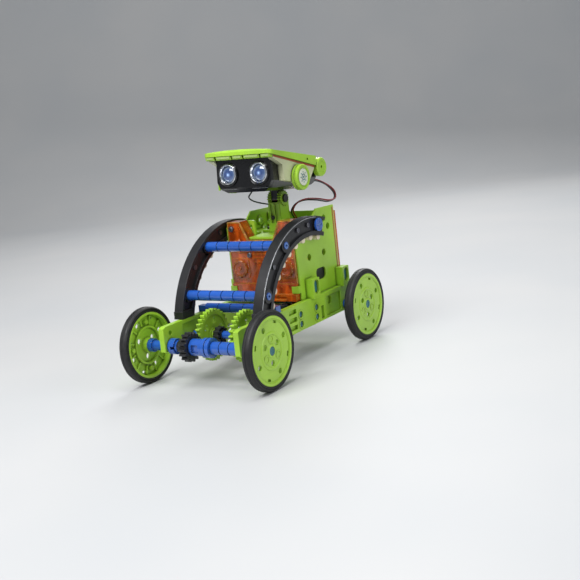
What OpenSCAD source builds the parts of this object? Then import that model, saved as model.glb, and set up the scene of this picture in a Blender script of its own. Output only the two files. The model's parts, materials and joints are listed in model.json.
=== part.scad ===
// Solar robot kit: a four-wheeled robot. Two side rails carry the axles and a gearbox body, two arches
// braced by grooved tubes lean over the front, and a tilting head carries the solar panel.
// Millimetres. +Z is up, -Y is the front and +X is the robot's left.
// The origin is on the ground, midway between the axles on the centre plane.

/* [Wheels and axles] */
// Outer radius of a tyre
tyre_r = 23; // [22.8:0.1:23.4]
// Radius of the wheel disc inside the tyre
disc_r = 19.8; // [19.5:0.1:20.2]
// Width of a wheel
wheel_w = 5.6; // [5:0.1:6]
// Distance between the front and rear axles
wheelbase = 114.4; // [114:0.2:120]
// Distance between the outer faces of the left and right wheels
track = 92.8; // [92:0.2:100]
// Radius of the axles and of the layshaft
shaft_r = 1.25; // [1.2:0.05:1.4]

/* [Chassis] */
// Distance from the centre plane to a rail's inner face
rail_x = 25; // [25:0.1:25.4]
// Thickness of a side rail
rail_t = 3.6; // [3.4:0.1:3.8]
// Height of the rails' lower edge above the ground
rail_low = 18.7; // [18:0.1:19]
// Height of the rails' upper edge above the ground
rail_high = 35.5; // [35:0.1:35.5]

/* [Gearbox body] */
// Position of the front cover's front face along Y
cover_front = 10.7; // [10.3:0.1:10.7]
// Position of the side plates' rear edge along Y
body_rear = 60.6; // [60.2:0.1:63]
// Height of the side plates' upper edge
body_top = 88; // [87:0.5:90]
// Height of the upper face of the top deck
deck_top = 75.6; // [75.2:0.1:76]
// Thickness of the top deck
deck_t = 1.6; // [1.4:0.1:1.6]

/* [Arches] */
// Outer radius of an arch
arch_r = 63.3; // [62.8:0.1:63.5]
// Radial depth of an arch's band
arch_band = 11; // [10.5:0.1:11.5]
// Width of an arch along X
arch_w = 6.2; // [6:0.1:6.6]
// Number of cream teeth along the inner edge of an arch
arch_teeth = 9; // [5:1:9]

/* [Head] */
// Height of the head's tilt axis above the ground
tilt_z = 96.5; // [96.5:0.5:100]
// Upward pitch of the head at rest, in degrees
head_pitch = 5; // [0:1:8]
// Half width of the black head housing
face_x = 20; // [19.5:0.1:20]
// Distance from the centre plane to an eye's centre
eye_x = 11.4; // [11:0.1:12]
// Radius of an eye's ring
eye_r = 6.3; // [6:0.1:6.4]
// Half width of the solar roof
roof_x = 24.6; // [24.5:0.1:26]

/* [Hidden] */
$fn = 64;

lime = "yellowgreen";
orange = [0.80, 0.30, 0.08];
blue = [0.12, 0.30, 0.75];
black = [0.08, 0.08, 0.09];
cream = [0.93, 0.85, 0.72];
steel = "silver";

// Radial clearance of a shaft that turns in a hole
run_gap = 0.05;
axle_z = tyre_r;
front_y = -wheelbase / 2;
rear_y = wheelbase / 2;
rail_out = rail_x + rail_t;
rail_over = 6.1;

// Side plates of the gearbox body, just inside the planes of the rails
plate_t = 1.2;
plate_x = rail_x - 0.8;
plate_out = plate_x + plate_t;

// Arch: circle centre in the side view, and its end angles measured up from the forward direction
arch_y = 18.3;
arch_z = 23;
arch_in = arch_r - arch_band;
arch_low_angle = 8;
arch_high_angle = 108.5;
arch_x = plate_out + 0.1;
arch_out = arch_x + arch_w;
arch_recess = 1.4;

// Groove for the cream strip along the inner edge of an arch
strip_w = 3.2;
strip_x = arch_out - 1 - strip_w;

tube_r_at = arch_r - 5.4;
screw_r_at = arch_r - 5;
upper_tube_angle = 61;
lower_tube_angle = 26;
top_plug_angle = 100.5;
screw_angles = [44, 78, 90];

// Gears: module, pitch diameter over teeth, of the visible gears and of those inside the gearbox
drive_module = 1;
box_module = 0.8;
axle_teeth = 16;
lay_teeth = 30;
idler_teeth = 20;
output_teeth = 30;
stage_teeth = 28;
pinion_teeth = 10;
pressure = 25;

// Direction from each gear to the next, in degrees above the rearward direction
lay_angle = 4;
front_idler_angle = -2;
rear_idler_angle = -3;
output_angle = 18;
second_angle = 90;
first_angle = 60;
motor_angle = -20;

// Gear positions in the side view, each [y, z], found by walking from mesh to mesh
lay_c = mesh_point([front_y, axle_z], drive_module, axle_teeth, lay_teeth, lay_angle);
front_idler_c = mesh_point(lay_c, drive_module, lay_teeth, idler_teeth, front_idler_angle);
rear_idler_c = mesh_point(front_idler_c, drive_module, idler_teeth, idler_teeth, rear_idler_angle);
output_c = mesh_point(rear_idler_c, drive_module, idler_teeth, axle_teeth, output_angle);
second_c = mesh_point(output_c, box_module, output_teeth, pinion_teeth, second_angle);
first_c = mesh_point(second_c, box_module, stage_teeth, pinion_teeth, first_angle);
motor_c = mesh_point(first_c, box_module, stage_teeth, pinion_teeth, motor_angle);

// Angle of one tooth of each gear at rest, so that every pair is in mesh
axle_phase = 0;
lay_phase = mesh_phase(axle_phase, axle_teeth, lay_teeth, lay_angle);
front_idler_phase = mesh_phase(lay_phase, lay_teeth, idler_teeth, front_idler_angle);
rear_idler_phase = mesh_phase(front_idler_phase, idler_teeth, idler_teeth, rear_idler_angle);
drive_phase = mesh_phase(rear_idler_phase, idler_teeth, axle_teeth, output_angle);
second_phase = mesh_phase(0, output_teeth, pinion_teeth, second_angle);
first_phase = mesh_phase(0, stage_teeth, pinion_teeth, first_angle);
motor_phase = mesh_phase(0, stage_teeth, pinion_teeth, motor_angle);

// Planes of the gears along X, the lower face of each
axle_gear_x = -13.8;
axle_gear_w = 4.6;
right_lay_x = -13;
left_lay_x = 11.4;
lay_w = 3;
drive_x = 10.9;
drive_w = 4;
stage_w = 4;
first_x = 0.5;
second_x = 6.5;
third_x = 18;
collar_x = right_lay_x + lay_w + 1.8;
hub_x = axle_gear_x + axle_gear_w + 0.3;

neck_y = 35.7;
ear_gap = 2.5;
head_base = 5.6;

function polar(c, r, a) = c + r * [cos(a), sin(a)];

// Centre of a gear that meshes with the gear at c, in the direction a
function mesh_point(c, m, n1, n2, a) = polar(c, m * (n1 + n2) / 2, a);

// Phase of the second gear of a mesh, from the first gear's phase and the direction between them
function mesh_phase(phase, n1, n2, a) = a + 180 + 360 / n2 * (0.5 - (phase - a) * n1 / 360);

function involute(a) = tan(a) * 180 / PI - a;

// Half of a tooth's angle at radius r, for pitch radius p and n teeth, with a little backlash
function half_tooth(r, p, n) =
  let (base = p * cos(pressure), a = r > base ? acos(base / r) : 0)
  84 / n + involute(pressure) - involute(a);

// Outline of a spur gear with straight steps along each involute flank
function gear_outline(n, m, phase) =
  let (
    p = m * n / 2,
    steps = [p - 1.05 * m, max(p * cos(pressure), p - 0.6 * m), p, p + 0.8 * m]
  )
  [for (i = [0 : n - 1]) each concat(
    [for (r = steps) polar([0, 0], r, phase + i * 360 / n - half_tooth(r, p, n))],
    [for (k = [3 : -1 : 0]) polar([0, 0], steps[k], phase + i * 360 / n + half_tooth(steps[k], p, n))]
  )];

// Extrude a side view drawn as [y, z] along +X from x0
module along_x(x0, len) {
  translate([x0, 0, 0])
    rotate([90, 0, 90])
      linear_extrude(len) children();
}

// Extrude a front view drawn as [x, z] along +Y from y0
module along_y(y0, len) {
  translate([0, y0 + len, 0])
    rotate([90, 0, 0])
      linear_extrude(len) children();
}

// Solid cylinder along X through the side-view point c
module rod_x(c, r, x0, x1) {
  translate([x0, c[0], c[1]])
    rotate([0, 90, 0])
      cylinder(r = r, h = x1 - x0);
}

module mirrored_pair() {
  children();
  mirror([1, 0, 0]) children();
}

// Rectangle with round corners, centred on c
module rounded_rect(c, w, h, r) {
  translate(c) {
    square([w - 2 * r, h], center = true);
    square([w, h - 2 * r], center = true);
    for (sx = [-1, 1], sy = [-1, 1])
      translate([sx * (w / 2 - r), sy * (h / 2 - r)]) circle(r);
  }
}

module disc_2d(c, r) {
  translate(c) circle(r);
}

module box(low, high) {
  translate(low) cube(high - low);
}

// Spur gear about the side-view point c, with a round bore
module spur_gear(c, n, m, phase, x0, w, bore) {
  along_x(x0, w)
    translate(c)
      difference() {
        polygon(gear_outline(n, m, phase));
        circle(bore);
      }
}

// Side rail

module rail_outline() {
  y0 = front_y - rail_over;
  y1 = rear_y + rail_over;
  polygon([
    [y0, rail_low + 1.8], [y0 + 2.6, rail_low + 1.8], [y0 + 4, rail_low], [y1 - 2, rail_low],
    [y1, rail_low + 2], [y1, rail_high], [y0 + 3, rail_high], [y0, rail_high - 1]
  ]);
}

// Block on top of a rail that grips the side plate, with a rounded slot
module rail_clip(y0, len) {
  top = rail_high + 12;
  difference() {
    box([arch_x, y0, rail_high - 0.5], [rail_out + 2.2, y0 + len, top]);
    along_x(rail_out - 0.4, 4) rounded_rect([y0 + len / 2 + 0.4, rail_high + 6.6], 4.6, 8, 2.2);
    along_x(rail_out + 1.4, 2)
      rounded_rect([y0 + len / 2 + 0.4, rail_high + 6.6], 5.6, 9, 2.6);
  }
}

module side_rail() {
  difference() {
    union() {
      along_x(rail_x, rail_t) rail_outline();
      rail_clip(17, 8.5);
      rail_clip(55, 8.5);
      rod_x([front_y, axle_z], 3.2, rail_x - 0.1, rail_out + 0.3);
      rod_x([rear_y, axle_z], 3.2, rail_x - 0.1, rail_out + 0.3);
      for (y = [3, 22], z = [22.7, 28.8])
        rod_x([y, z], 2.9, rail_out - 0.1, rail_out + 0.35);
    }
    rod_x([front_y, axle_z], shaft_r + run_gap, rail_x - 1, rail_out + 1);
    rod_x([rear_y, axle_z], shaft_r + run_gap, rail_x - 1, rail_out + 1);
    rod_x(lay_c, shaft_r + run_gap, rail_x - 1, rail_x + 2.2);
    for (c = [front_idler_c, rear_idler_c, output_c])
      rod_x(c, 1, rail_x - 1, rail_x + 1.4);
    for (y = [3, 22], z = [22.7, 28.8])
      rod_x([y, z], 2.1, rail_out - 1.6, rail_out + 1);
    for (z = [22.2, 27.1, 32])
      along_x(rail_out - 1.8, 3) rounded_rect([-5.6, z], 8.6, 2.9, 0.5);
    along_x(rail_out - 1.6, 3) rounded_rect([29.2, 24], 4, 8.4, 0.5);
    along_x(rail_out - 1, 3) rounded_rect([43.6, 26.6], 19, 12.6, 1.5);
    rod_x([40.4, 29.4], 2.7, rail_out - 2.4, rail_out + 1);
    rod_x([front_y + 0.2, 31], 1.5, rail_x - 1, rail_out + 1);
    box([rail_x - 1, front_y + 12, rail_low + 3], [rail_x + 0.9, -26, rail_high - 2.2]);
    box([rail_x - 1, -20, rail_low + 3], [rail_x + 0.9, -12.5, rail_high - 2.2]);
  }
}

module left_side_rail() {
  color(lime) side_rail();
}

module right_side_rail() {
  color(lime) mirror([1, 0, 0]) side_rail();
}

// Floor between the rails behind the gears, ribbed below
module chassis_floor() {
  color(lime)
    difference() {
      union() {
        box([-rail_x, 42, rail_low], [rail_x, body_rear, rail_low + 1.8]);
        box([-rail_x, 42, rail_low], [rail_x, 43.6, rail_low + 7]);
        box([-rail_x, body_rear - 1.6, rail_low], [rail_x, body_rear, rail_low + 7]);
      }
      rod_x([rear_y, axle_z], 3.6, -rail_x - 1, rail_x + 1);
      for (x = [-15, 0, 15])
        translate([x, 49.5, rail_low - 1]) cylinder(r = 2.2, h = 4);
    }
}

// Gearbox body

module plate_outline() {
  y0 = cover_front + 0.6;
  polygon([
    [y0, rail_high + 0.1], [body_rear, rail_high + 0.1], [body_rear, body_top],
    [y0 + 27.9, body_top + 0.6], [y0 + 22.4, body_top - 4], [y0 + 8.4, body_top - 4],
    [y0, body_top - 6]
  ]);
}

// Centres of the round holes in a side plate
plate_holes = [
  [cover_front + 36.8, 81.3], [cover_front + 40.8, 75.5], [cover_front + 14.4, 60],
  [cover_front + 32.5, 60]
];

// Boss around each plate hole, on the inner face
module plate_bosses(r, x0) {
  for (c = plate_holes)
    rod_x(c, r, x0, plate_x + 0.1);
}

module side_plate() {
  lip_low = 40.4;
  lip_high = 44.8;
  difference() {
    union() {
      along_x(plate_x, plate_t) plate_outline();
      box([plate_x, cover_front - 2.1, lip_low], [plate_out, cover_front + 0.7, lip_high]);
      box([plate_x - 3.6, cover_front - 2.1, lip_low], [plate_x + 0.1, cover_front - 1.45, lip_high]);
      plate_bosses(3.1, plate_x - 1.4);
      for (c = [first_c, second_c])
        rod_x(c, 2.2, plate_x - 1.5, plate_x + 0.1);
    }
    for (c = plate_holes)
      rod_x(c, 2.2, plate_x - 2, plate_out + 1);
    for (c = [first_c, second_c])
      rod_x(c, 1, plate_x - 2, plate_x + 0.8);
    along_x(plate_x - 1, plate_t + 2) rounded_rect([cover_front + 26.6, 47.4], 11.6, 7.4, 2.6);
    rod_x(arch_point(top_plug_angle, tube_r_at), 2, plate_x - 2, plate_out + 1);
  }
}

module left_side_plate() {
  color(lime) side_plate();
}

module right_side_plate() {
  color(lime) mirror([1, 0, 0]) side_plate();
}

// Front view of the front cover, moved inwards by t, with the notch between its two lobes
module cover_outline(t) {
  half = plate_x - 0.1 - t;
  low = rail_high + 0.1 + t;
  top = body_top - 2.5 - t;
  notch_low = deck_top - 2 - t;
  polygon([
    [-half, low], [half, low], [half, top], [14.8 + t, top], [9.5 + t, notch_low],
    [-9.5 - t, notch_low], [-14.8 - t, top], [-half, top]
  ]);
}

module gearbox_front_cover() {
  half = plate_x - 0.1;
  low = rail_high + 0.1;
  color(orange)
    difference() {
      union() {
        difference() {
          along_y(cover_front, 9) cover_outline(0);
          along_y(cover_front + 1.4, 9) cover_outline(1.4);
        }
        box([-half, cover_front - 1.4, low], [half, cover_front + 0.1, 46.4]);
        box([-half, cover_front - 3.4, low], [half, cover_front - 1.3, 40]);
        along_y(cover_front - 0.6, 0.7) rounded_rect([-17, 56], 13, 13, 2);
        along_y(cover_front - 0.6, 0.7) rounded_rect([17, 56], 13, 13, 2);
        for (x = [-17, 17])
          translate([x, cover_front + 0.1, 56])
            rotate([90, 0, 0]) cylinder(r = 5.4, h = 1.4);
        for (x = [-9.2, 9.2])
          translate([x, cover_front + 5, 64.4])
            rotate([90, 0, 0]) cylinder(r = 2.4, h = 4.4);
        box([-half, cover_front - 0.5, 66.5], [half, cover_front + 0.1, 68]);
      }
      box([5.5, cover_front + 1.4, low - 1], [half - 1, cover_front + 10, low + 1.6]);
      for (x = [-9.2, 9.2])
        translate([x, cover_front + 6, 64.4])
          rotate([90, 0, 0]) cylinder(r = 1, h = 8);
      for (x = [-21, 21])
        translate([x, cover_front + 3, body_top - 6.5])
          rotate([90, 0, 0]) cylinder(r = 1, h = 4);
      for (x = [-1, 1])
        box([x * 12.5 - 4.5, cover_front - 4, low + 1], [x * 12.5 + 4.5, cover_front - 2.4, 38.6]);
    }
}

// Heights of the back cover's screws
back_screw_z = [40, 80.5];

module gearbox_back_cover() {
  color(orange)
    difference() {
      union() {
        box([-plate_out, body_rear + 0.05, rail_high + 0.1], [plate_out, body_rear + 1.9, body_top - 4]);
        for (z = [44, 56, 68])
          box([-21, body_rear + 1.8, z], [21, body_rear + 2.7, z + 5]);
      }
      for (x = [-21, 21], z = back_screw_z)
        translate([x, body_rear - 1, z]) rotate([-90, 0, 0]) cylinder(r = 1, h = 5);
      translate([0, body_rear - 1, 80]) rotate([-90, 0, 0]) cylinder(r = 3, h = 5);
    }
}

// Deck over the gearbox, with a raised rear wall and two lugs beside the cover's notch
module top_deck() {
  deck_low = deck_top - deck_t;
  lug_y = cover_front + 9.2;
  color(lime)
    difference() {
      union() {
        box([-plate_x + 0.1, cover_front + 9.1, deck_low], [plate_x - 0.1, body_rear - 0.1, deck_top]);
        box([-9.2, cover_front + 1.5, deck_low], [9.2, cover_front + 9.2, deck_top]);
        box([-23.4, body_rear - 3.4, deck_low], [23.4, body_rear - 1.8, body_top - 3]);
        mirrored_pair() {
          along_y(lug_y, 1.8) rounded_rect([12.6, deck_top + 4], 6.4, 11, 2);
          box([10.4, lug_y, deck_low], [15, lug_y + 7.8, deck_top + 1.4]);
        }
      }
      for (x = [-12.6, 12.6])
        translate([x, lug_y - 1, deck_top + 5.6]) rotate([-90, 0, 0]) cylinder(r = 1.3, h = 5);
      mirrored_pair() rod_x(plate_holes[1], 3.2, plate_x - 1.5, plate_x);
      for (x = [-8.4, 8.4])
        translate([x, neck_y, deck_low - 1]) cylinder(r = 1, h = 5);
      translate([3, neck_y + 14, deck_low - 1]) cylinder(r = 2.4, h = 5);
    }
}

// Arches

module arch_ring(r_in, r_out) {
  difference() {
    disc_2d([arch_y, arch_z], r_out);
    disc_2d([arch_y, arch_z], r_in);
  }
}

// Wedge between two angles, wide enough to cut the whole band
module arch_wedge(a0, a1) {
  c = [arch_y, arch_z];
  mid = (a0 + a1) / 2;
  polygon([
    c, polar(c, 90, 180 - a0), polar(c, 90, 180 - (a0 + mid) / 2), polar(c, 90, 180 - mid),
    polar(c, 90, 180 - (mid + a1) / 2), polar(c, 90, 180 - a1)
  ]);
}

function arch_point(a, r) = polar([arch_y, arch_z], r, 180 - a);

module arch_band_2d(r_in, r_out) {
  difference() {
    intersection() {
      arch_ring(r_in, r_out);
      arch_wedge(arch_low_angle, arch_high_angle);
    }
    translate([-60, 0]) square([60, rail_high + 0.1]);
  }
}

module arch() {
  rim = 1.8;
  groove_r = arch_in + 1.6;
  difference() {
    union() {
      along_x(arch_x, arch_w) arch_band_2d(arch_r - rim, arch_r);
      along_x(arch_x, arch_w) arch_band_2d(arch_in - 0.8, arch_in + rim);
      along_x(arch_x + arch_recess, arch_w - 2 * arch_recess) arch_band_2d(arch_in, arch_r - 0.2);
      box([rail_x, -43.4, rail_high + 0.1], [arch_out, -33.2, rail_high + 4.6]);
      for (a = [upper_tube_angle, lower_tube_angle, top_plug_angle])
        rod_x(arch_point(a, tube_r_at), 4.1, arch_x, arch_out);
    }
    difference() {
      along_x(strip_x, strip_w) arch_ring(arch_in - 2, groove_r);
      box([arch_x, -44, rail_high], [arch_out, -33, rail_high + 5.8]);
    }
    for (a = [upper_tube_angle, lower_tube_angle])
      rod_x(arch_point(a, tube_r_at), 2.2, arch_x - 1, arch_out + 1);
    rod_x(arch_point(top_plug_angle, tube_r_at), 2, arch_x - 1, arch_out + 1);
    for (a = screw_angles)
      rod_x(arch_point(a, screw_r_at), 1, arch_x - 1, arch_out + 1);
  }
}

module left_arch() {
  color(black) arch();
}

module right_arch() {
  color(black) mirror([1, 0, 0]) arch();
}

// Cream strip in the groove of each arch, with rounded teeth that stand out below it
module arch_tooth_strips() {
  tooth_r = 2;
  color(cream)
    mirrored_pair()
      along_x(strip_x, strip_w) {
        intersection() {
          arch_ring(arch_in - 0.2, arch_in + 1.6);
          arch_wedge(18.5, 107);
        }
        for (i = [0 : arch_teeth - 1])
          translate(arch_point(21.5 + 10.2 * i, arch_in - 1.7)) circle(tooth_r);
      }
}

// Tube with grooves between equal segments, ends stepped down to fit a hole
module grooved_tube(c, r, x0, x1, segments) {
  groove = 0.8;
  pitch = (x1 - x0) / segments;
  difference() {
    rod_x(c, r, x0, x1);
    for (i = [1 : segments - 1])
      difference() {
        rod_x(c, r + 1, x0 + i * pitch - groove / 2, x0 + i * pitch + groove / 2);
        rod_x(c, r - 0.5, x0, x1);
      }
  }
}

module cross_tube(a) {
  c = arch_point(a, tube_r_at);
  difference() {
    union() {
      grooved_tube(c, 3.15, -arch_x, arch_x, 6);
      rod_x(c, 2.2, -arch_out - 0.4, arch_out + 0.4);
    }
    for (s = [-1, 1])
      translate([s * (arch_out + 0.5), c[0], c[1]]) cube([1.4, 3, 0.7], center = true);
  }
}

module upper_cross_tube() {
  color(blue) cross_tube(upper_tube_angle);
}

module lower_cross_tube() {
  color(blue) cross_tube(lower_tube_angle);
}

// Tube between the rails, just behind the lower arch tube
module rear_cross_tube() {
  c = [-20.6, rail_high + 2.2];
  color(blue) {
    grooved_tube(c, 2.9, -rail_x + 1.6, rail_x - 1.6, 5);
    mirrored_pair() box([rail_x - 1.7, c[0] - 2.4, rail_high + 0.05], [rail_out, c[0] + 2.4, c[1] + 1.8]);
  }
}

module arch_top_plugs() {
  c = arch_point(top_plug_angle, tube_r_at);
  color(blue)
    mirrored_pair()
      difference() {
        union() {
          rod_x(c, 2, plate_x - 1, arch_out + 0.2);
          rod_x(c, 4.1, arch_out + 0.02, arch_out + 1.2);
        }
        for (s = [0, 90])
          translate([arch_out + 1.2, c[0], c[1]])
            rotate([s, 0, 0]) cube([0.8, 5.4, 0.9], center = true);
      }
}

// Round-headed screw along +X whose head's outer face is at x
module screw_x(c, x, len) {
  rod_x(c, 1.5, x - 0.9, x);
  rod_x(c, 1, x - len, x - 0.8);
}

module arch_screws() {
  color(steel)
    mirrored_pair()
      for (a = screw_angles) {
        c = arch_point(a, screw_r_at);
        screw_x(c, arch_out - arch_recess + 0.9, arch_w - 2 * arch_recess + 1.5);
        rod_x(c, 1.5, arch_x + arch_recess - 0.6, arch_x + arch_recess);
      }
}

// Screw along -Y whose head's front face is at y
module screw_y(x, z, y, len) {
  translate([x, y + 0.9, z]) rotate([90, 0, 0]) cylinder(r = 1.6, h = 0.9);
  translate([x, y + len, z]) rotate([90, 0, 0]) cylinder(r = 1, h = len - 0.8);
}

module cover_screws() {
  color(steel) {
    for (x = [-9.2, 9.2])
      screw_y(x, 64.4, cover_front - 0.9, 5.8);
    for (x = [-21, 21])
      screw_y(x, body_top - 6.5, cover_front - 0.9, 2.4);
    for (x = [-21, 21], z = back_screw_z)
      mirror([0, 1, 0]) screw_y(x, z, -body_rear - 2.8, 2.8);
  }
}

// Motor: a can with two flats, its shaft towards the robot's left
can_x = -20.8;

module motor_can() {
  color(steel)
    difference() {
      union() {
        intersection() {
          rod_x(motor_c, 10, can_x, -2);
          box([can_x, motor_c[0] - 7.55, motor_c[1] - 12], [0, motor_c[0] + 7.55, motor_c[1] + 12]);
        }
        rod_x(motor_c, 3, -2.1, -0.9);
      }
      rod_x(motor_c, 1 + run_gap, -19, 0);
    }
}

module motor_end_cap() {
  x0 = can_x - 1.8;
  color("white") {
    intersection() {
      rod_x(motor_c, 9.6, x0, can_x);
      box([x0, motor_c[0] - 7.2, motor_c[1] - 12], [can_x, motor_c[0] + 7.2, motor_c[1] + 12]);
    }
    for (z = [-6, 6])
      translate([x0, motor_c[0], motor_c[1] + z]) cube([1.4, 2, 0.8], center = true);
  }
}

module motor_shaft() {
  color(steel) rod_x(motor_c, 1, -18.5, 5.4);
}

module motor_pinion() {
  color("white") spur_gear(motor_c, pinion_teeth, box_module, motor_phase, first_x - 0.3, stage_w + 0.6, 1);
}

// Wheel and pinion in one moulding, turning on a pin
module stage_gear(c, n, wheel_x, wheel_w, pinion_x, pinion_w, phase) {
  low = min(wheel_x, pinion_x);
  high = max(wheel_x + wheel_w, pinion_x + pinion_w);
  difference() {
    union() {
      spur_gear(c, n, box_module, 0, wheel_x, wheel_w, 1);
      spur_gear(c, pinion_teeth, box_module, phase, pinion_x, pinion_w, 1);
      rod_x(c, 2.8, low, high);
    }
    rod_x(c, 1 + run_gap, low - 1, high + 1);
  }
}

module first_stage_gear() {
  color("white")
    stage_gear(first_c, stage_teeth, first_x, stage_w, second_x - 0.3, stage_w + 0.6, first_phase);
}

module second_stage_gear() {
  color("white")
    stage_gear(second_c, stage_teeth, second_x, stage_w, third_x - 0.3, stage_w + 0.6, second_phase);
}

// Output wheel and the black drive gear, joined by a hub
module output_gear() {
  color(black)
    difference() {
      union() {
        spur_gear(output_c, output_teeth, box_module, 0, third_x, stage_w, 1);
        spur_gear(output_c, axle_teeth, drive_module, drive_phase, drive_x, drive_w, 1);
        rod_x(output_c, 3.6, drive_x, third_x + stage_w + 1);
      }
      rod_x(output_c, 1 + run_gap, 0, rail_x);
    }
}

// Fixed steel pins: two across the gearbox and three between the rails
module gear_pins() {
  color(steel) {
    for (c = [first_c, second_c])
      rod_x(c, 1, -plate_x - 0.7, plate_x + 0.7);
    for (c = [front_idler_c, rear_idler_c, output_c])
      rod_x(c, 1, -rail_x - 1.2, rail_x + 1.2);
  }
}

module idler_gear(c, phase) {
  difference() {
    union() {
      spur_gear(c, idler_teeth, drive_module, phase, drive_x, drive_w, 1);
      rod_x(c, 3.6, drive_x - 1, drive_x + drive_w + 1);
    }
    rod_x(c, 1 + run_gap, 0, rail_x);
    for (i = [0 : 5])
      rod_x(polar(c, 6, i * 60 + 30), 1.3, 0, rail_x);
  }
}

module rear_idler_gear() {
  color(black) idler_gear(rear_idler_c, rear_idler_phase);
}

module front_idler_gear() {
  color(black) idler_gear(front_idler_c, front_idler_phase);
}

// Layshaft, which joins the gearbox side to the front axle

module layshaft() {
  color(steel) rod_x(lay_c, shaft_r, -rail_x - 2, rail_x + 2);
}

// Lime gear with a raised rim, a hub and a ring of holes
module lay_gear(x0) {
  difference() {
    union() {
      spur_gear(lay_c, lay_teeth, drive_module, lay_phase, x0, lay_w, shaft_r);
      rod_x(lay_c, 3.4, x0 - 1, x0 + lay_w + 1);
    }
    for (s = [-0.1, lay_w - 0.7])
      difference() {
        rod_x(lay_c, 12.2, x0 + s, x0 + s + 0.8);
        rod_x(lay_c, 4.4, x0 - 2, x0 + lay_w + 2);
      }
    for (i = [0 : 5])
      rod_x(polar(lay_c, 8.4, i * 60 + 20), 2, x0 - 1, x0 + lay_w + 1);
    rod_x(lay_c, shaft_r, x0 - 2, x0 + lay_w + 2);
  }
}

module layshaft_left_gear() {
  color(lime) lay_gear(left_lay_x);
}

module layshaft_right_gear() {
  color(lime) lay_gear(right_lay_x);
}

// Black collar with round pegs on both faces
module layshaft_collar() {
  color(black)
    difference() {
      union() {
        rod_x(lay_c, 3.2, collar_x, collar_x + 5);
        rod_x(lay_c, 4.6, collar_x + 1.2, collar_x + 3.8);
        for (i = [0 : 9])
          rod_x(polar(lay_c, 4.3, i * 36), 0.8, collar_x + 0.4, collar_x + 4.6);
      }
      rod_x(lay_c, shaft_r, collar_x - 1, collar_x + 6);
    }
}

module sleeve(c, r, x0, x1, segments) {
  difference() {
    grooved_tube(c, r, x0, x1, segments);
    rod_x(c, shaft_r, x0 - 1, x1 + 1);
  }
}

module layshaft_sleeves() {
  color(blue) {
    sleeve(lay_c, 2.4, collar_x + 5.1, left_lay_x - 1.1, 2);
    sleeve(lay_c, 2.4, -rail_x + 0.4, right_lay_x - 1.1, 2);
  }
}

// Front axle

front_c = [front_y, axle_z];
rear_c = [rear_y, axle_z];

module axle_shaft(c) {
  rod_x(c, shaft_r, -track / 2 + 0.6, track / 2 - 0.6);
}

module front_axle() {
  color(steel) axle_shaft(front_c);
}

// Bell-shaped hub beside the right rail, open towards the gear
module front_axle_bell() {
  color(blue)
    difference() {
      union() {
        rod_x(front_c, 4.8, -rail_x + 0.4, -20.4);
        rod_x(front_c, 3.6, -20.5, -19);
      }
      difference() {
        rod_x(front_c, 3.4, -22.6, -18);
        rod_x(front_c, 2.2, -24, -18);
      }
      box([-22.6, front_c[0] - 6, front_c[1] - 0.9], [-20.4, front_c[0] - 3, front_c[1] + 0.9]);
      rod_x(front_c, shaft_r, -rail_x, -15);
    }
}

// Black gear with a row of round pegs around one face
module front_drive_gear() {
  x1 = axle_gear_x + axle_gear_w;
  color(black)
    difference() {
      union() {
        spur_gear(front_c, axle_teeth, drive_module, axle_phase, axle_gear_x, axle_gear_w, 1);
        rod_x(front_c, 3.4, -18.9, x1 + 0.2);
        for (i = [0 : 11])
          rod_x(polar(front_c, 5.2, i * 30), 0.8, axle_gear_x - 1.1, x1 - 1);
      }
      rod_x(front_c, shaft_r, -20, 0);
    }
}

module front_axle_hub() {
  color(blue)
    difference() {
      union() {
        rod_x(front_c, 5.1, hub_x, hub_x + 9.1);
        rod_x(front_c, 5.9, hub_x + 9, hub_x + 14.3);
      }
      box([hub_x + 1.7, front_c[0] - 6, front_c[1] - 2.4], [hub_x + 6.5, front_c[0] - 3.6, front_c[1] + 2.4]);
      difference() {
        rod_x(front_c, 6.5, hub_x + 11.2, hub_x + 12);
        rod_x(front_c, 5.3, hub_x + 10, hub_x + 13);
      }
      rod_x(front_c, shaft_r, hub_x - 1, hub_x + 15);
    }
}

module front_axle_sleeve() {
  color(blue) sleeve(front_c, 3.9, hub_x + 14.4, rail_x - 0.4, 3);
}

module rear_axle() {
  color(steel) axle_shaft(rear_c);
}

module rear_axle_sleeve() {
  color(blue) sleeve(rear_c, 3.2, -rail_x + 0.5, rail_x - 0.5, 6);
}

// Spacer between a rail and a wheel whose inner face is at x1
module wheel_spacer(c, x1) {
  x0 = rail_out + 0.6;
  difference() {
    union() {
      rod_x(c, 3, x0, x1);
      rod_x(c, 4, x1 - 3, x1);
    }
    rod_x(c, shaft_r, x0 - 1, x1 + 1);
  }
}

module wheel_spacers(c) {
  color(blue) mirrored_pair() wheel_spacer(c, track / 2 - wheel_w);
}

module front_wheel_spacers() {
  wheel_spacers(front_c);
}

module rear_wheel_spacers() {
  wheel_spacers(rear_c);
}

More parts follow.
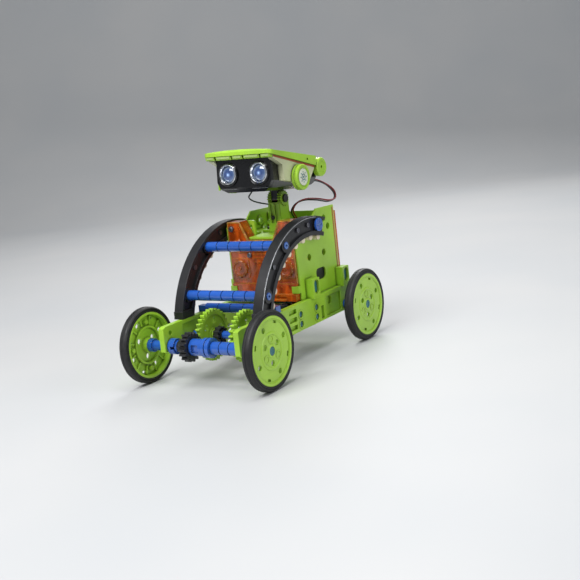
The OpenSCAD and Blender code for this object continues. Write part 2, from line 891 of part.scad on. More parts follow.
// Wheel disc about the X axis at the origin, outer face at x = 0 and body towards -X
module wheel_disc() {
  web = 1.5;
  web_x = -2.2;
  difference() {
    rotate([0, 90, 0])
      rotate_extrude()
        polygon([
          [shaft_r, -wheel_w], [4.4, -wheel_w], [4.4, web_x], [10.4, web_x], [10.4, web_x - 1.6],
          [11.6, web_x - 1.6], [11.6, web_x], [disc_r - 1.9, web_x], [disc_r - 1.4, -wheel_w],
          [disc_r, -wheel_w], [disc_r, -wheel_w + 1], [disc_r - 0.8, -wheel_w + 1.2],
          [disc_r - 0.8, -1.2], [disc_r, -1], [disc_r, -0.3], [disc_r - 0.4, 0], [disc_r - 1.6, 0],
          [disc_r - 2.2, web_x + web], [11, web_x + web], [10.4, -0.3], [9.4, -0.3],
          [9, web_x + web], [4.2, web_x + web], [3.6, -0.3], [2.6, -0.3], [2.6, -1.1], [shaft_r, -1.1]
        ]);
    for (a = [30, 150, 270])
      rod_x(polar([0, 0], 6.9, a), 1.75, -wheel_w - 1, 1);
    for (a = [25 : 90 : 295])
      rod_x(polar([0, 0], 14.4, a), 1.7, -wheel_w - 1, 1);
    for (a = [70 : 90 : 340], s = [-3, 0, 3])
      rod_x(polar([0, 0], 16.4, a + s), 0.8, -wheel_w - 1, 1);
  }
  for (a = [70 : 90 : 340])
    rod_x(polar([0, 0], 14.2, a + 20), 1.4, -wheel_w + 1.2, web_x + 0.1);
}

module left_wheel(c) {
  color(lime) translate([track / 2, c[0], c[1]]) wheel_disc();
}

module right_wheel(c) {
  color(lime) translate([-track / 2, c[0], c[1]]) mirror([1, 0, 0]) wheel_disc();
}

module front_left_wheel() {
  left_wheel(front_c);
}

module front_right_wheel() {
  right_wheel(front_c);
}

module rear_left_wheel() {
  left_wheel(rear_c);
}

module rear_right_wheel() {
  right_wheel(rear_c);
}

// Tyre with a rounded tread, two side grooves and a bead that fits the wheel's seat
module tyre(c) {
  translate([track / 2, c[0], c[1]])
    rotate([0, 90, 0])
      rotate_extrude($fn = 96)
        difference() {
          polygon([
            [disc_r, -wheel_w + 1], [disc_r, -wheel_w + 0.1], [tyre_r - 0.9, -wheel_w + 0.1],
            [tyre_r - 0.25, -wheel_w + 0.8], [tyre_r, -wheel_w + 1.7], [tyre_r, -1.7],
            [tyre_r - 0.25, -0.8], [tyre_r - 0.9, -0.1], [disc_r, -0.1], [disc_r, -1],
            [disc_r - 0.8, -1.2], [disc_r - 0.8, -wheel_w + 1.2]
          ]);
          for (x = [-wheel_w + 0.1, -0.1])
            translate([disc_r + 1.4, x]) circle(0.35);
          translate([tyre_r, -wheel_w / 2]) circle(0.3);
        }
}

module tyre_pair(c) {
  color(black) mirrored_pair() tyre(c);
}

module front_tyres() {
  tyre_pair(front_c);
}

module rear_tyres() {
  tyre_pair(rear_c);
}

// Neck

module neck_column() {
  c = [neck_y, tilt_z];
  color(lime)
    difference() {
      union() {
        box([-10.6, neck_y - 5.4, deck_top + 0.02], [10.6, neck_y + 5.4, deck_top + 1.6]);
        box([-4.4, neck_y - 5.2, deck_top + 0.02], [4.4, neck_y + 5.2, tilt_z - 2]);
        box([-5, neck_y - 6, deck_top + 0.02], [5, neck_y - 2.6, deck_top + 6]);
        for (x = [-3.4, 0, 3.4])
          box([x - 0.7, neck_y - 6, deck_top + 5], [x + 0.7, neck_y - 5, tilt_z - 3]);
        mirrored_pair()
          along_x(ear_gap, 2.5)
            translate(c) polygon(gear_outline(18, 0.52, 0));
        rod_x([neck_y, deck_top + 5.8], 1.9, -8.4, 0);
        rod_x([neck_y, deck_top + 5.8], 1.1, -9.4, 0);
      }
      along_x(-ear_gap, 2 * ear_gap) {
        disc_2d(c, 4.6);
        translate([neck_y - 4.6, tilt_z]) square([9.2, 8]);
      }
      rod_x(c, 1.5, -8, 8);
      for (x = [-8.4, 8.4])
        translate([x, neck_y, deck_top - 1]) cylinder(r = 1, h = 4);
      translate([-1.2, neck_y - 4, deck_top + 9.4]) rotate([90, 0, 0]) cylinder(r = 1.3, h = 5);
    }
}

// Two screws through the foot of the neck and one in its front face
module neck_screws() {
  color(black) {
    translate([-1.2, neck_y - 6.6, deck_top + 9.4]) rotate([-90, 0, 0]) cylinder(r = 1.3, h = 2.6);
    for (x = [-8.4, 8.4]) {
      translate([x, neck_y, deck_top + 1.6]) cylinder(r = 1.9, h = 1.2);
      translate([x, neck_y, deck_top - 0.5]) cylinder(r = 1, h = 2.2);
    }
  }
}

module head_tilt_pin() {
  c = [neck_y, tilt_z];
  color(black) {
    rod_x(c, 1.5, -5.2, 5.2);
    rod_x(c, 2.6, 5.05, 6.2);
    rod_x(c, 2.1, -5.8, -5.05);
  }
}

// Head, drawn level about its tilt axis and then pitched up

roof_front = -43.4;
roof_rear = 9;
roof_top_z = head_base + 24.8;
roof_slope = 5.5;
roof_low_slope = 9.4;
roof_t = 2.3;

module on_head() {
  translate([0, neck_y, tilt_z])
    rotate([-head_pitch, 0, 0])
      children();
}

// Height of the roof's underside at y
function roof_under(y) = roof_top_z - roof_t - (y - roof_front) * tan(roof_low_slope);

// Height of the roof's upper face at y
function roof_over(y) = roof_top_z - (y - roof_front) * tan(roof_slope);

module head_housing() {
  face_y = -36.5;
  back_y = 13;
  low = head_base;
  color(black)
    on_head()
      difference() {
        union() {
          intersection() {
            along_x(-face_x, 2 * face_x)
              polygon([
                [face_y, low + 3], [face_y + 1.8, low], [4, low], [back_y + 0.4, low + 1.8],
                [back_y + 2.4, low + 3], [back_y + 2.4, low + 11], [back_y, low + 11],
                [back_y, roof_under(back_y) - 0.05], [face_y, roof_under(face_y) - 0.05]
              ]);
            along_y(face_y - 1, 60)
              polygon([
                [-face_x, low + 26], [-face_x, low + 6.4], [-face_x + 2.7, low + 1.9],
                [-face_x + 6.4, low], [face_x - 6.4, low], [face_x - 2.7, low + 1.9],
                [face_x, low + 6.4], [face_x, low + 26]
              ]);
          }
          mirrored_pair()
            translate([eye_x, face_y + 1, low + 11.4])
              rotate([90, 0, 0]) cylinder(r = eye_r + 0.9, h = 1.6);
          mirrored_pair()
            box([eye_x - 5.2, face_y - 0.7, low + 2.9], [eye_x + 5.2, face_y + 0.2, low + 3.6]);
          along_x(-ear_gap + 0.15, 2 * ear_gap - 0.3) {
            circle(3.8);
            translate([-3.8, 0]) square([7.6, head_base + 0.5]);
          }
        }
        rod_x([0, 0], 1.5 + run_gap, -5, 5);
        mirrored_pair()
          translate([eye_x, face_y + 3, low + 11.4])
            rotate([90, 0, 0]) cylinder(r = eye_r, h = 8);
      }
}

// Side shell of the head, with a tongue that reaches down in front of the ear disc
module cheek() {
  low = head_base;
  on_head()
    along_x(face_x + 0.05, 3.5)
      polygon([
        [-38.9, roof_under(-38.9) - 0.1], [-38.9, low + 19.5], [-28.9, low + 15.4],
        [-28, low + 5.8], [-20, low + 4.9], [-4, low + 2.4], [0.6, low + 3.4],
        [8.2, low + 12.6], [8.2, roof_under(8.2) - 0.1]
      ]);
}

module left_cheek() {
  color("beige") cheek();
}

module right_cheek() {
  color("beige") mirror([1, 0, 0]) cheek();
}

// Lime roof: a wedge with a crowned front lip over five ribs, and a tray for the solar cell
module roof_frame() {
  lip_depth = 3.6;
  lip_top = roof_top_z + 1.1;
  lip_r = 252;
  backing_y = roof_front + 3;
  rib_low = roof_top_z - roof_t - 2.4;
  rib_top = roof_top_z - roof_t + 0.2;
  rib_x = [[-23.4, -17], [-15.8, -4.7], [-3.6, 3.6], [4.7, 15.8], [17, 23.4]];
  side_hole_y = -1.4;
  color(lime)
    on_head()
      difference() {
        union() {
          intersection() {
            along_x(-roof_x, 2 * roof_x)
              polygon([
                [roof_front, roof_under(roof_front)], [roof_front, roof_over(roof_front) - 0.8],
                [roof_front + 0.8, roof_over(roof_front + 0.8)], [roof_rear, roof_over(roof_rear)],
                [roof_rear, roof_under(roof_rear)]
              ]);
            roof_plan();
          }
          intersection() {
            along_y(roof_front - 1, lip_depth + 1)
              intersection() {
                translate([0, lip_top - lip_r]) circle(r = lip_r, $fn = 720);
                rounded_rect([0, lip_top - 4], 2 * roof_x, 8, 1.8);
              }
            along_x(-roof_x, 2 * roof_x)
              polygon([
                [roof_front, roof_top_z - roof_t], [roof_front, lip_top - 1.4], [roof_front + 0.5, lip_top - 0.4],
                [roof_front + 1.4, lip_top + 0.1], [roof_front + lip_depth - 0.6, lip_top + 0.1],
                [roof_front + lip_depth, roof_over(roof_front + lip_depth)],
                [roof_front + lip_depth, roof_top_z - roof_t]
              ]);
            roof_plan();
          }
          along_x(-22.6, 45.2)
            polygon([
              [backing_y, rib_top], [backing_y, rib_low + 0.3], [backing_y + 1.3, rib_low + 0.3],
              [backing_y + 1.3, rib_top]
            ]);
          for (r = rib_x)
            along_x(r[0], r[1] - r[0])
              polygon([
                [roof_front + 0.6, rib_top], [roof_front + 1.4, rib_low + 0.5], [roof_front + 2, rib_low],
                [backing_y + 1.3, rib_low], [backing_y + 1.3, rib_top]
              ]);
        }
        solar_tray(0.1, 1);
        mirrored_pair()
          rod_x([side_hole_y, roof_under(side_hole_y) + 2.4], 0.8, roof_x - 1, roof_x + 1);
        for (x = [-6, 6])
          translate([x, roof_rear - 2.6, 0]) cylinder(r = 1, h = 40);
      }
}

// Roof's outline from above, with rounded front corners
module roof_plan() {
  corner = 3;
  linear_extrude(40)
    union() {
      translate([-roof_x, roof_front + corner]) square([2 * roof_x, roof_rear - roof_front - corner]);
      translate([-roof_x + corner, roof_front]) square([2 * (roof_x - corner), corner + 1]);
      for (s = [-1, 1])
        translate([s * (roof_x - corner), roof_front + corner]) circle(corner);
    }
}

// Block sunk into the roof's upper face, wider than the solar cell by gap and reaching up by high
module solar_tray(gap, high) {
  rim = 2.7;
  front = 4.8;
  depth = 1.3;
  len = (roof_rear - roof_front) / cos(roof_slope) - front - 5.4;
  translate([0, roof_front, roof_top_z])
    rotate([-roof_slope, 0, 0])
      box([-roof_x + rim - gap, front - gap, -depth], [roof_x - rim + gap, front + len + gap, high]);
}

module solar_cell() {
  color("midnightblue") on_head() solar_tray(0, -0.35);
}

module eye_rings() {
  y = -36.5;
  color(steel)
    on_head()
      mirrored_pair()
        translate([eye_x, y + 3, head_base + 11.4])
          rotate([90, 0, 0])
            rotate_extrude()
              polygon([
                [eye_r - 1.7, 0], [eye_r, 0], [eye_r, 4], [eye_r - 0.4, 4.3], [eye_r - 0.9, 4.3],
                [eye_r - 1.3, 3.6]
              ]);
}

module eye_lenses() {
  y = -36.5;
  lens_r = eye_r - 1.75;
  dome_r = 9;
  color("skyblue")
    on_head()
      mirrored_pair()
        translate([eye_x, y + 3, head_base + 11.4])
          rotate([90, 0, 0])
            intersection() {
              cylinder(r = lens_r, h = 6);
              translate([0, 0, 3.6 - dome_r]) sphere(r = dome_r);
            }
}

module ear_discs() {
  c = [-12.4, head_base + 7.1];
  x = face_x + 3.6;
  color(lime)
    on_head()
      mirrored_pair()
        translate([x, c[0], c[1]])
          rotate([0, 90, 0])
            rotate_extrude()
              polygon([
                [0, 0], [7.5, 0], [7.9, 0.4], [7.9, 1.6], [7.4, 1.9], [7.4, 2.3], [7.9, 2.6],
                [7.9, 3.8], [7.4, 4.3], [6.5, 4.3], [6.2, 3.9], [0, 3.9]
              ]);
}

module rear_knobs() {
  c = [15.4, head_base + 12.7];
  color(lime)
    on_head()
      mirrored_pair()
        translate([roof_x - 3.6, c[0], c[1]])
          difference() {
            union() {
              rotate([0, 90, 0])
                rotate_extrude()
                  polygon([
                    [0, 0], [5.4, 0], [6, 0.5], [6, 3.4], [5.4, 4], [4.2, 4], [3.8, 3.6], [0, 3.6]
                  ]);
              box([-6.6, -2.3, -1.4], [0.1, 3, 2.3]);
            }
            rod_x([0, 0], 1, 2, 5);
          }
}

// Lower run of a head wire: it rises from the deck, bends once and runs on level in the direction a
module wire_run(x, y, rise, bend, run, a) {
  wire_r = 0.55;
  translate([x, y, deck_top - deck_t])
    rotate([0, 0, a]) {
      cylinder(r = wire_r, h = rise);
      translate([bend, 0, rise])
        mirror([1, 0, 0])
          rotate([90, 0, 0])
            rotate_extrude(angle = 90) translate([bend, 0]) circle(wire_r);
      translate([bend, 0, rise + bend])
        rotate([0, 90, 0]) cylinder(r = wire_r, h = run);
    }
}

module head_wires() {
  color(black) {
    wire_run(2.2, neck_y + 13.6, 11, 5, 8, 30);
    wire_run(4, neck_y + 14.4, 9, 5, 8, 30);
  }
}

left_side_rail();
right_side_rail();
chassis_floor();
left_side_plate();
right_side_plate();
gearbox_front_cover();
gearbox_back_cover();
top_deck();
left_arch();
right_arch();
arch_tooth_strips();
upper_cross_tube();
lower_cross_tube();
rear_cross_tube();
arch_top_plugs();
arch_screws();
cover_screws();
motor_can();
motor_end_cap();
motor_shaft();
motor_pinion();
first_stage_gear();
second_stage_gear();
output_gear();
gear_pins();
rear_idler_gear();
front_idler_gear();
layshaft();
layshaft_left_gear();
layshaft_right_gear();
layshaft_collar();
layshaft_sleeves();
front_axle();
front_axle_bell();
front_drive_gear();
front_axle_hub();
front_axle_sleeve();
rear_axle();
rear_axle_sleeve();
front_wheel_spacers();
rear_wheel_spacers();
front_left_wheel();
front_right_wheel();
rear_left_wheel();
rear_right_wheel();
front_tyres();
rear_tyres();
neck_column();
neck_screws();
head_tilt_pin();
head_housing();
left_cheek();
right_cheek();
roof_frame();
solar_cell();
eye_rings();
eye_lenses();
ear_discs();
rear_knobs();
head_wires();
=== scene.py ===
"""Looks of the solar robot kit: moulded plastic and metal materials, wires, lenses, solar strips,
screw heads, raised edges and small fittings, with a pale floor, soft light and a camera. Lengths are
metres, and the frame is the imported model's own: +Z up, -Y the robot's front, +X its left."""

import json
import math

import bmesh
import bpy
from mathutils import Matrix, Vector


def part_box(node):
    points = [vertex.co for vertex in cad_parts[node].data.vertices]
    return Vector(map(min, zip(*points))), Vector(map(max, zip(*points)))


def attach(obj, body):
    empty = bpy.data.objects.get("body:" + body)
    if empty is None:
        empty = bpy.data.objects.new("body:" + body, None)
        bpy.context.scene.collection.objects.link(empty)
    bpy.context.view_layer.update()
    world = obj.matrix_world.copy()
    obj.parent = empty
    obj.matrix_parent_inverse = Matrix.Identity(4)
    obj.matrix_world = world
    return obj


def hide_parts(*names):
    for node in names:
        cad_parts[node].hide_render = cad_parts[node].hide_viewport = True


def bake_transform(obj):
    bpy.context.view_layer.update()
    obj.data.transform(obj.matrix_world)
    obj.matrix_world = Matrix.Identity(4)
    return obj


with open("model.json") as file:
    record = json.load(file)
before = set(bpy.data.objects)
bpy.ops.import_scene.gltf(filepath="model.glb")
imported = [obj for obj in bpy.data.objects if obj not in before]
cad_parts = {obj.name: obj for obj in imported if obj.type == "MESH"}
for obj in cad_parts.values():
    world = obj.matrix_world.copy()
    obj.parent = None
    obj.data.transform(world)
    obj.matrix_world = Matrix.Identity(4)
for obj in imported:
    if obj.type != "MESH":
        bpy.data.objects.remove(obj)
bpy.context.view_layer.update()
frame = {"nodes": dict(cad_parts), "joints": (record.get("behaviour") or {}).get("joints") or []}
MM = 0.001
nodes = frame["nodes"]
joints = {joint["name"]: joint for joint in frame["joints"]}


# Materials

class Shader:
    """A material built round one Principled BSDF, with its texture fixed to the part's rest position."""

    def __init__(self, name):
        self.material = bpy.data.materials.new(name)
        self.material.use_nodes = True
        self.tree = self.material.node_tree
        self.tree.nodes.clear()
        self.out = self.add("ShaderNodeOutputMaterial")
        self.bsdf = self.add("ShaderNodeBsdfPrincipled")
        self.link(self.bsdf.outputs["BSDF"], self.out.inputs["Surface"])
        self.place = self.add("ShaderNodeTexCoord").outputs["Object"]

    def add(self, kind, values=None, **settings):
        node = self.tree.nodes.new(kind)
        for key, value in settings.items():
            setattr(node, key, value)
        for key, value in (values or {}).items():
            self.feed(node.inputs[key], value)
        return node

    def link(self, source, target):
        self.tree.links.new(source, target)

    def feed(self, socket, value):
        if isinstance(value, bpy.types.NodeSocket):
            self.link(value, socket)
        else:
            socket.default_value = value

    def set(self, **values):
        for key, value in values.items():
            self.feed(self.bsdf.inputs[key.replace("_", " ")], value)

    def noise(self, scale, detail=3.0, rough=0.5, stretch=(1, 1, 1)):
        mapping = self.add("ShaderNodeMapping", {"Vector": self.place, "Scale": stretch})
        values = {"Vector": mapping.outputs[0], "Scale": scale, "Detail": detail, "Roughness": rough}
        return self.add("ShaderNodeTexNoise", values).outputs["Fac"]

    def span(self, source, low, high, out_low=0.0, out_high=1.0):
        values = {"Value": source, "From Min": low, "From Max": high, "To Min": out_low, "To Max": out_high}
        return self.add("ShaderNodeMapRange", values).outputs["Result"]

    def math(self, operation, a, b=0.0):
        return self.add("ShaderNodeMath", {0: a, 1: b}, operation=operation).outputs[0]

    def mix(self, factor, a, b):
        return self.add("ShaderNodeMix", {0: factor, 6: a, 7: b}, data_type="RGBA").outputs[2]

    def soft_normal(self, radius):
        """Normal rounded over the edges, as a moulded edge is."""
        return self.add("ShaderNodeBevel", {"Radius": radius}, samples=4).outputs["Normal"]

    def edge_mask(self, rounded):
        """Near 1 on an edge and 0 on a flat face, from how far the rounded normal leans."""
        flat = self.add("ShaderNodeNewGeometry").outputs["Normal"]
        dot = self.add("ShaderNodeVectorMath", {0: rounded, 1: flat}, operation="DOT_PRODUCT")
        return self.span(dot.outputs["Value"], 0.995, 0.80)

    def crevice_shade(self, reach):
        """Near 1 in a groove or a corner narrower than reach, and 0 in the open; used to paint shade there."""
        light = self.add("ShaderNodeAmbientOcclusion", {"Distance": reach}, samples=4).outputs["AO"]
        return self.span(light, 0.90, 0.35)

    def bump(self, height, strength, distance, normal):
        values = {"Height": height, "Strength": strength, "Distance": distance, "Normal": normal}
        self.set(Normal=self.add("ShaderNodeBump", values).outputs["Normal"])


def rgb(red, green, blue):
    return (red, green, blue, 1.0)


def scaled(colour, k):
    return tuple(min(1.0, channel * k) for channel in colour[:3]) + (1.0,)


def moulded(name, colour, rough, edge_gain=1.5, grain=0.25, coat=0.0, edge=0.35 * MM):
    """Moulded plastic: slow colour drift, fine grain, scuffs, paler rounded edges (part wear, part painted
    highlight) and painted shade in grooves.
    """
    s = Shader(name)
    normal = s.soft_normal(edge)
    drift = s.span(s.noise(38, 2), 0.3, 0.7)
    body = s.mix(drift, scaled(colour, 0.86), scaled(colour, 1.10))
    fleck = s.span(s.noise(900, 2), 0.35, 0.75, 0.0, 0.25)
    body = s.mix(fleck, body, scaled(colour, 0.72))
    # Paler rounded edges: partly wear, partly a painted highlight along the edges; edge_gain sets how pale they
    # get.
    edge_wear_and_highlight = s.math("MULTIPLY", s.edge_mask(normal), s.span(s.noise(210, 4, 0.6), 0.30, 0.62, 0.35, 1.0))
    body = s.mix(s.math("MULTIPLY", edge_wear_and_highlight, 0.75), body, scaled(colour, edge_gain))
    # Painted shade: grooves and corners found by ambient occlusion are darkened almost to black.
    body = s.mix(s.math("MULTIPLY", s.crevice_shade(1.6 * MM), 0.8), body, scaled(colour, 0.12))
    scuff = s.span(s.noise(130, 5, 0.65, (1.0, 5.0, 1.6)), 0.52, 0.72)
    s.set(Base_Color=body, Roughness=s.span(scuff, 0, 1, rough, min(1.0, rough + 0.16)))
    s.set(Coat_Weight=coat, Coat_Roughness=0.12, Specular_IOR_Level=0.5)
    s.set(Subsurface_Weight=0.06, Subsurface_Radius=(0.002, 0.002, 0.001), Subsurface_Scale=0.5)
    s.bump(s.math("ADD", s.noise(2600, 2), s.math("MULTIPLY", scuff, 0.6)), grain, 0.03 * MM, normal)
    return s.material


def clear_orange(name, colour, edge_glow_colour):
    """Tinted see-through plastic that darkens where it is deep, with a painted glow along its edges."""
    s = Shader(name)
    normal = s.soft_normal(0.6 * MM)
    streak = s.span(s.noise(260, 4, 0.6, (1.0, 1.0, 0.45)), 0.32, 0.68)
    body = s.mix(streak, scaled(colour, 0.50), scaled(colour, 1.15))
    # Painted glow: the edges are mixed towards a bright colour, standing in for light caught in the plastic's
    # edges.
    body = s.mix(s.edge_mask(normal), body, edge_glow_colour)
    s.set(Base_Color=body, Roughness=s.span(s.noise(500, 3), 0.3, 0.7, 0.10, 0.28), IOR=1.49)
    s.set(Transmission_Weight=s.span(streak, 0, 1, 0.62, 0.40), Coat_Weight=0.6, Coat_Roughness=0.05)
    s.set(Subsurface_Weight=0.25, Subsurface_Radius=(0.006, 0.002, 0.0005), Subsurface_Scale=1.0)
    s.bump(s.noise(420, 3, 0.55, (1.0, 1.0, 0.5)), 0.5, 0.25 * MM, normal)
    return s.material


def metal(name, colour, rough, brushed=(1, 1, 1), edge=0.2 * MM):
    """Bare metal with brushing along one direction and faint tarnish."""
    s = Shader(name)
    normal = s.soft_normal(edge)
    tarnish = s.span(s.noise(320, 4), 0.35, 0.75)
    line = s.noise(1500, 4, 0.6, brushed)
    s.set(Base_Color=s.mix(tarnish, colour, scaled(colour, 0.62)), Metallic=1.0)
    s.set(Roughness=s.span(line, 0.3, 0.7, rough, rough + 0.18))
    s.bump(line, 0.25, 0.02 * MM, normal)
    return s.material


def tyre_rubber(name):
    """Black rubber with dusty shoulders and a fine pebbled skin."""
    s = Shader(name)
    normal = s.soft_normal(0.2 * MM)
    dust = s.span(s.noise(170, 5, 0.7), 0.45, 0.80, 0.0, 0.55)
    s.set(Base_Color=s.mix(dust, rgb(0.010, 0.010, 0.011), rgb(0.055, 0.053, 0.050)))
    s.set(Roughness=s.span(dust, 0, 0.55, 0.48, 0.82), Specular_IOR_Level=0.4)
    s.bump(s.noise(2100, 3, 0.6), 0.5, 0.05 * MM, normal)
    return s.material


def wire_skin(name, colour):
    """Soft vinyl insulation, slightly ribbed by the strands inside."""
    s = Shader(name)
    strands = s.noise(1200, 2, 0.5, (1.0, 0.4, 2.5))
    tone = s.span(s.noise(240, 3), 0.3, 0.7)
    s.set(Base_Color=s.mix(tone, scaled(colour, 0.75), scaled(colour, 1.3)), Roughness=0.38)
    s.set(Coat_Weight=0.2)
    s.bump(strands, 0.3, 0.05 * MM, s.soft_normal(0.05 * MM))
    return s.material


def eye_lens(name, centre_x, centre_z, radius):
    """Blue-grey glass dome with a painted glint: a bright point at its middle that glows by emission, deep blue
    round it and a pale rim; the whole lens glows faintly.
    """
    s = Shader(name)
    split = s.add("ShaderNodeSeparateXYZ", {0: s.place})
    across = s.math("SUBTRACT", s.math("ABSOLUTE", split.outputs["X"]), centre_x)
    level = s.math("SUBTRACT", split.outputs["Z"], centre_z)
    far = s.math("SQRT", s.math("ADD", s.math("MULTIPLY", across, across), s.math("MULTIPLY", level, level)))
    ring = s.math("DIVIDE", far, radius)
    cloud = s.math("MULTIPLY", s.math("SUBTRACT", s.noise(420, 3), 0.5), 0.30)
    ramp = s.add("ShaderNodeValToRGB", {"Fac": s.math("ADD", ring, cloud)})
    stops = ((0.0, rgb(0.62, 0.76, 0.95)), (0.14, rgb(0.16, 0.27, 0.55)), (0.40, rgb(0.035, 0.07, 0.22)),
             (0.74, rgb(0.07, 0.13, 0.30)), (1.0, rgb(0.30, 0.38, 0.52)))
    marks = ramp.color_ramp.elements
    marks[0].position, marks[0].color = stops[0]
    marks[1].position, marks[1].color = stops[-1]
    for position, colour in stops[1:-1]:
        marks.new(position).color = colour
    # Painted glint: the ramp's bright middle and the emission, strongest there, stand in for a highlight; the
    # lens is no lamp.
    s.set(Base_Color=ramp.outputs["Color"], Roughness=0.04, IOR=1.5, Transmission_Weight=0.15)
    s.set(Coat_Weight=1.0, Coat_Roughness=0.02, Emission_Color=ramp.outputs["Color"])
    s.set(Emission_Strength=s.span(ring, 0.0, 0.30, 0.7, 0.05))
    s.bump(s.noise(600, 2), 0.05, 0.05 * MM, s.soft_normal(0.1 * MM))
    return s.material


def solar_glass(name):
    """Dark blue cell with crystal flakes under a clear laminate."""
    s = Shader(name)
    flakes = s.add("ShaderNodeTexVoronoi", {"Vector": s.place, "Scale": 420.0}).outputs["Color"]
    shade = s.add("ShaderNodeRGBToBW", {0: flakes}).outputs[0]
    body = s.mix(s.span(shade, 0.2, 0.8), rgb(0.010, 0.016, 0.060), rgb(0.030, 0.055, 0.190))
    s.set(Base_Color=body, Roughness=s.span(shade, 0.2, 0.8, 0.25, 0.45), Metallic=0.25)
    s.set(Coat_Weight=1.0, Coat_Roughness=0.04)
    s.bump(s.noise(300, 2), 0.1, 0.05 * MM, s.soft_normal(0.2 * MM))
    return s.material


lime = moulded("lime_plastic", rgb(0.36, 0.62, 0.040), 0.34, 1.45, 0.30, 0.10)
lime_wheel = moulded("lime_wheel_plastic", rgb(0.38, 0.64, 0.045), 0.30, 1.45, 0.22, 0.15)
cream = moulded("cream_plastic", rgb(0.86, 0.74, 0.55), 0.42, 1.15, 0.30)
cheek_white = moulded("cheek_plastic", rgb(0.60, 0.62, 0.38), 0.36, 1.2, 0.25, 0.10)
rib_pale = moulded("rib_plastic", rgb(0.46, 0.62, 0.20), 0.34, 1.2, 0.20, 0.10)
pale_blue = moulded("pale_blue_plastic", rgb(0.13, 0.27, 0.60), 0.25, 1.6, 0.15, 0.40)
blue = moulded("blue_plastic", rgb(0.016, 0.100, 0.46), 0.14, 2.4, 0.15, 0.80)
black = moulded("black_plastic", rgb(0.016, 0.016, 0.018), 0.34, 4.0, 0.30, 0.10)
head_black = moulded("head_plastic", rgb(0.005, 0.005, 0.006), 0.20, 4.0, 0.12, 0.30)
arch_black = moulded("arch_plastic", rgb(0.012, 0.012, 0.014), 0.36, 7.0, 0.35, 0.05)
white = moulded("white_plastic", rgb(0.78, 0.77, 0.72), 0.38, 1.1, 0.20)
teal = moulded("teal_plastic", rgb(0.02, 0.16, 0.19), 0.30, 2.0, 0.20, 0.30)
stripe_brown = moulded("stripe_paint", rgb(0.42, 0.075, 0.010), 0.30, 1.4, 0.15, 0.30)
gold_line = moulded("gold_line", rgb(0.66, 0.46, 0.12), 0.30, 1.2, 0.12, 0.20)
orange = clear_orange("orange_cover", rgb(0.86, 0.150, 0.010), rgb(1.0, 0.46, 0.05))
# Brighter orange for the cover's edge beads: a painted glow along the edges.
orange_edge_glow = clear_orange("orange_edge_glow", rgb(1.0, 0.40, 0.04), rgb(1.0, 0.66, 0.16))
steel = metal("steel", rgb(0.55, 0.55, 0.56), 0.26, (0.15, 3.0, 3.0))
screw_steel = metal("screw_steel", rgb(0.20, 0.20, 0.22), 0.30)
ring_metal = metal("ring_metal", rgb(0.78, 0.80, 0.84), 0.10)
# Silver lines: real on the solar cell, and a painted highlight where they sit on the eye ledges and the arches'
# edges.
silver_and_highlight_line = metal("silver_and_highlight_line", rgb(0.72, 0.73, 0.75), 0.32)
rubber = tyre_rubber("tyre")
wire_black = wire_skin("wire_black", rgb(0.012, 0.012, 0.014))
wire_red = wire_skin("wire_red", rgb(0.20, 0.010, 0.012))
solar = solar_glass("solar")
cream_badge = moulded("badge_face", rgb(0.74, 0.78, 0.62), 0.30, 1.1, 0.15, 0.30)

finish_of = {
    lime: "left_side_rail right_side_rail chassis_floor left_side_plate right_side_plate top_deck "
          "layshaft_left_gear layshaft_right_gear neck_column roof_frame ear_discs rear_knobs",
    lime_wheel: "front_left_wheel front_right_wheel rear_left_wheel rear_right_wheel",
    cheek_white: "left_cheek right_cheek",
    orange: "gearbox_front_cover gearbox_back_cover",
    blue: "upper_cross_tube lower_cross_tube rear_cross_tube arch_top_plugs layshaft_sleeves front_axle_bell "
          "front_axle_hub front_axle_sleeve rear_axle_sleeve front_wheel_spacers rear_wheel_spacers",
    black: "output_gear rear_idler_gear front_idler_gear layshaft_collar front_drive_gear neck_screws "
           "head_tilt_pin",
    head_black: "head_housing",
    arch_black: "left_arch right_arch",
    cream: "arch_tooth_strips",
    white: "motor_end_cap motor_pinion first_stage_gear second_stage_gear",
    steel: "motor_can motor_shaft gear_pins layshaft front_axle rear_axle",
    screw_steel: "arch_screws cover_screws",
    ring_metal: "eye_rings",
    rubber: "front_tyres rear_tyres",
    solar: "solar_cell",
}


def finish_cad_nodes():
    for material, names in finish_of.items():
        for name in names.split():
            slots = nodes[name].data.materials
            slots.clear()
            slots.append(material)


# Mesh helpers

def piece(name, bm, material, body, smooth_angle=math.radians(38)):
    """Turn a bmesh into a shown piece that rides on a body, smooth but for its sharp edges."""
    bmesh.ops.remove_doubles(bm, verts=bm.verts, dist=1e-7)
    bmesh.ops.recalc_face_normals(bm, faces=bm.faces)
    for face in bm.faces:
        face.smooth = True
    for edge in bm.edges:
        if len(edge.link_faces) == 2 and edge.calc_face_angle(0.0) > smooth_angle:
            edge.smooth = False
    mesh = bpy.data.meshes.new(name)
    bm.to_mesh(mesh)
    bm.free()
    mesh.materials.append(material)
    obj = bpy.data.objects.new(name, mesh)
    bpy.context.scene.collection.objects.link(obj)
    if body:
        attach(obj, body)
    return obj


def frame_at(origin, normal, up=(0, 0, 1)):
    """Matrix whose local Z points along normal and whose local Y leans towards up."""
    z = Vector(normal).normalized()
    x = Vector(up).cross(z).normalized()
    y = z.cross(x)
    return Matrix.Translation(Vector(origin)) @ Matrix((x, y, z)).transposed().to_4x4()


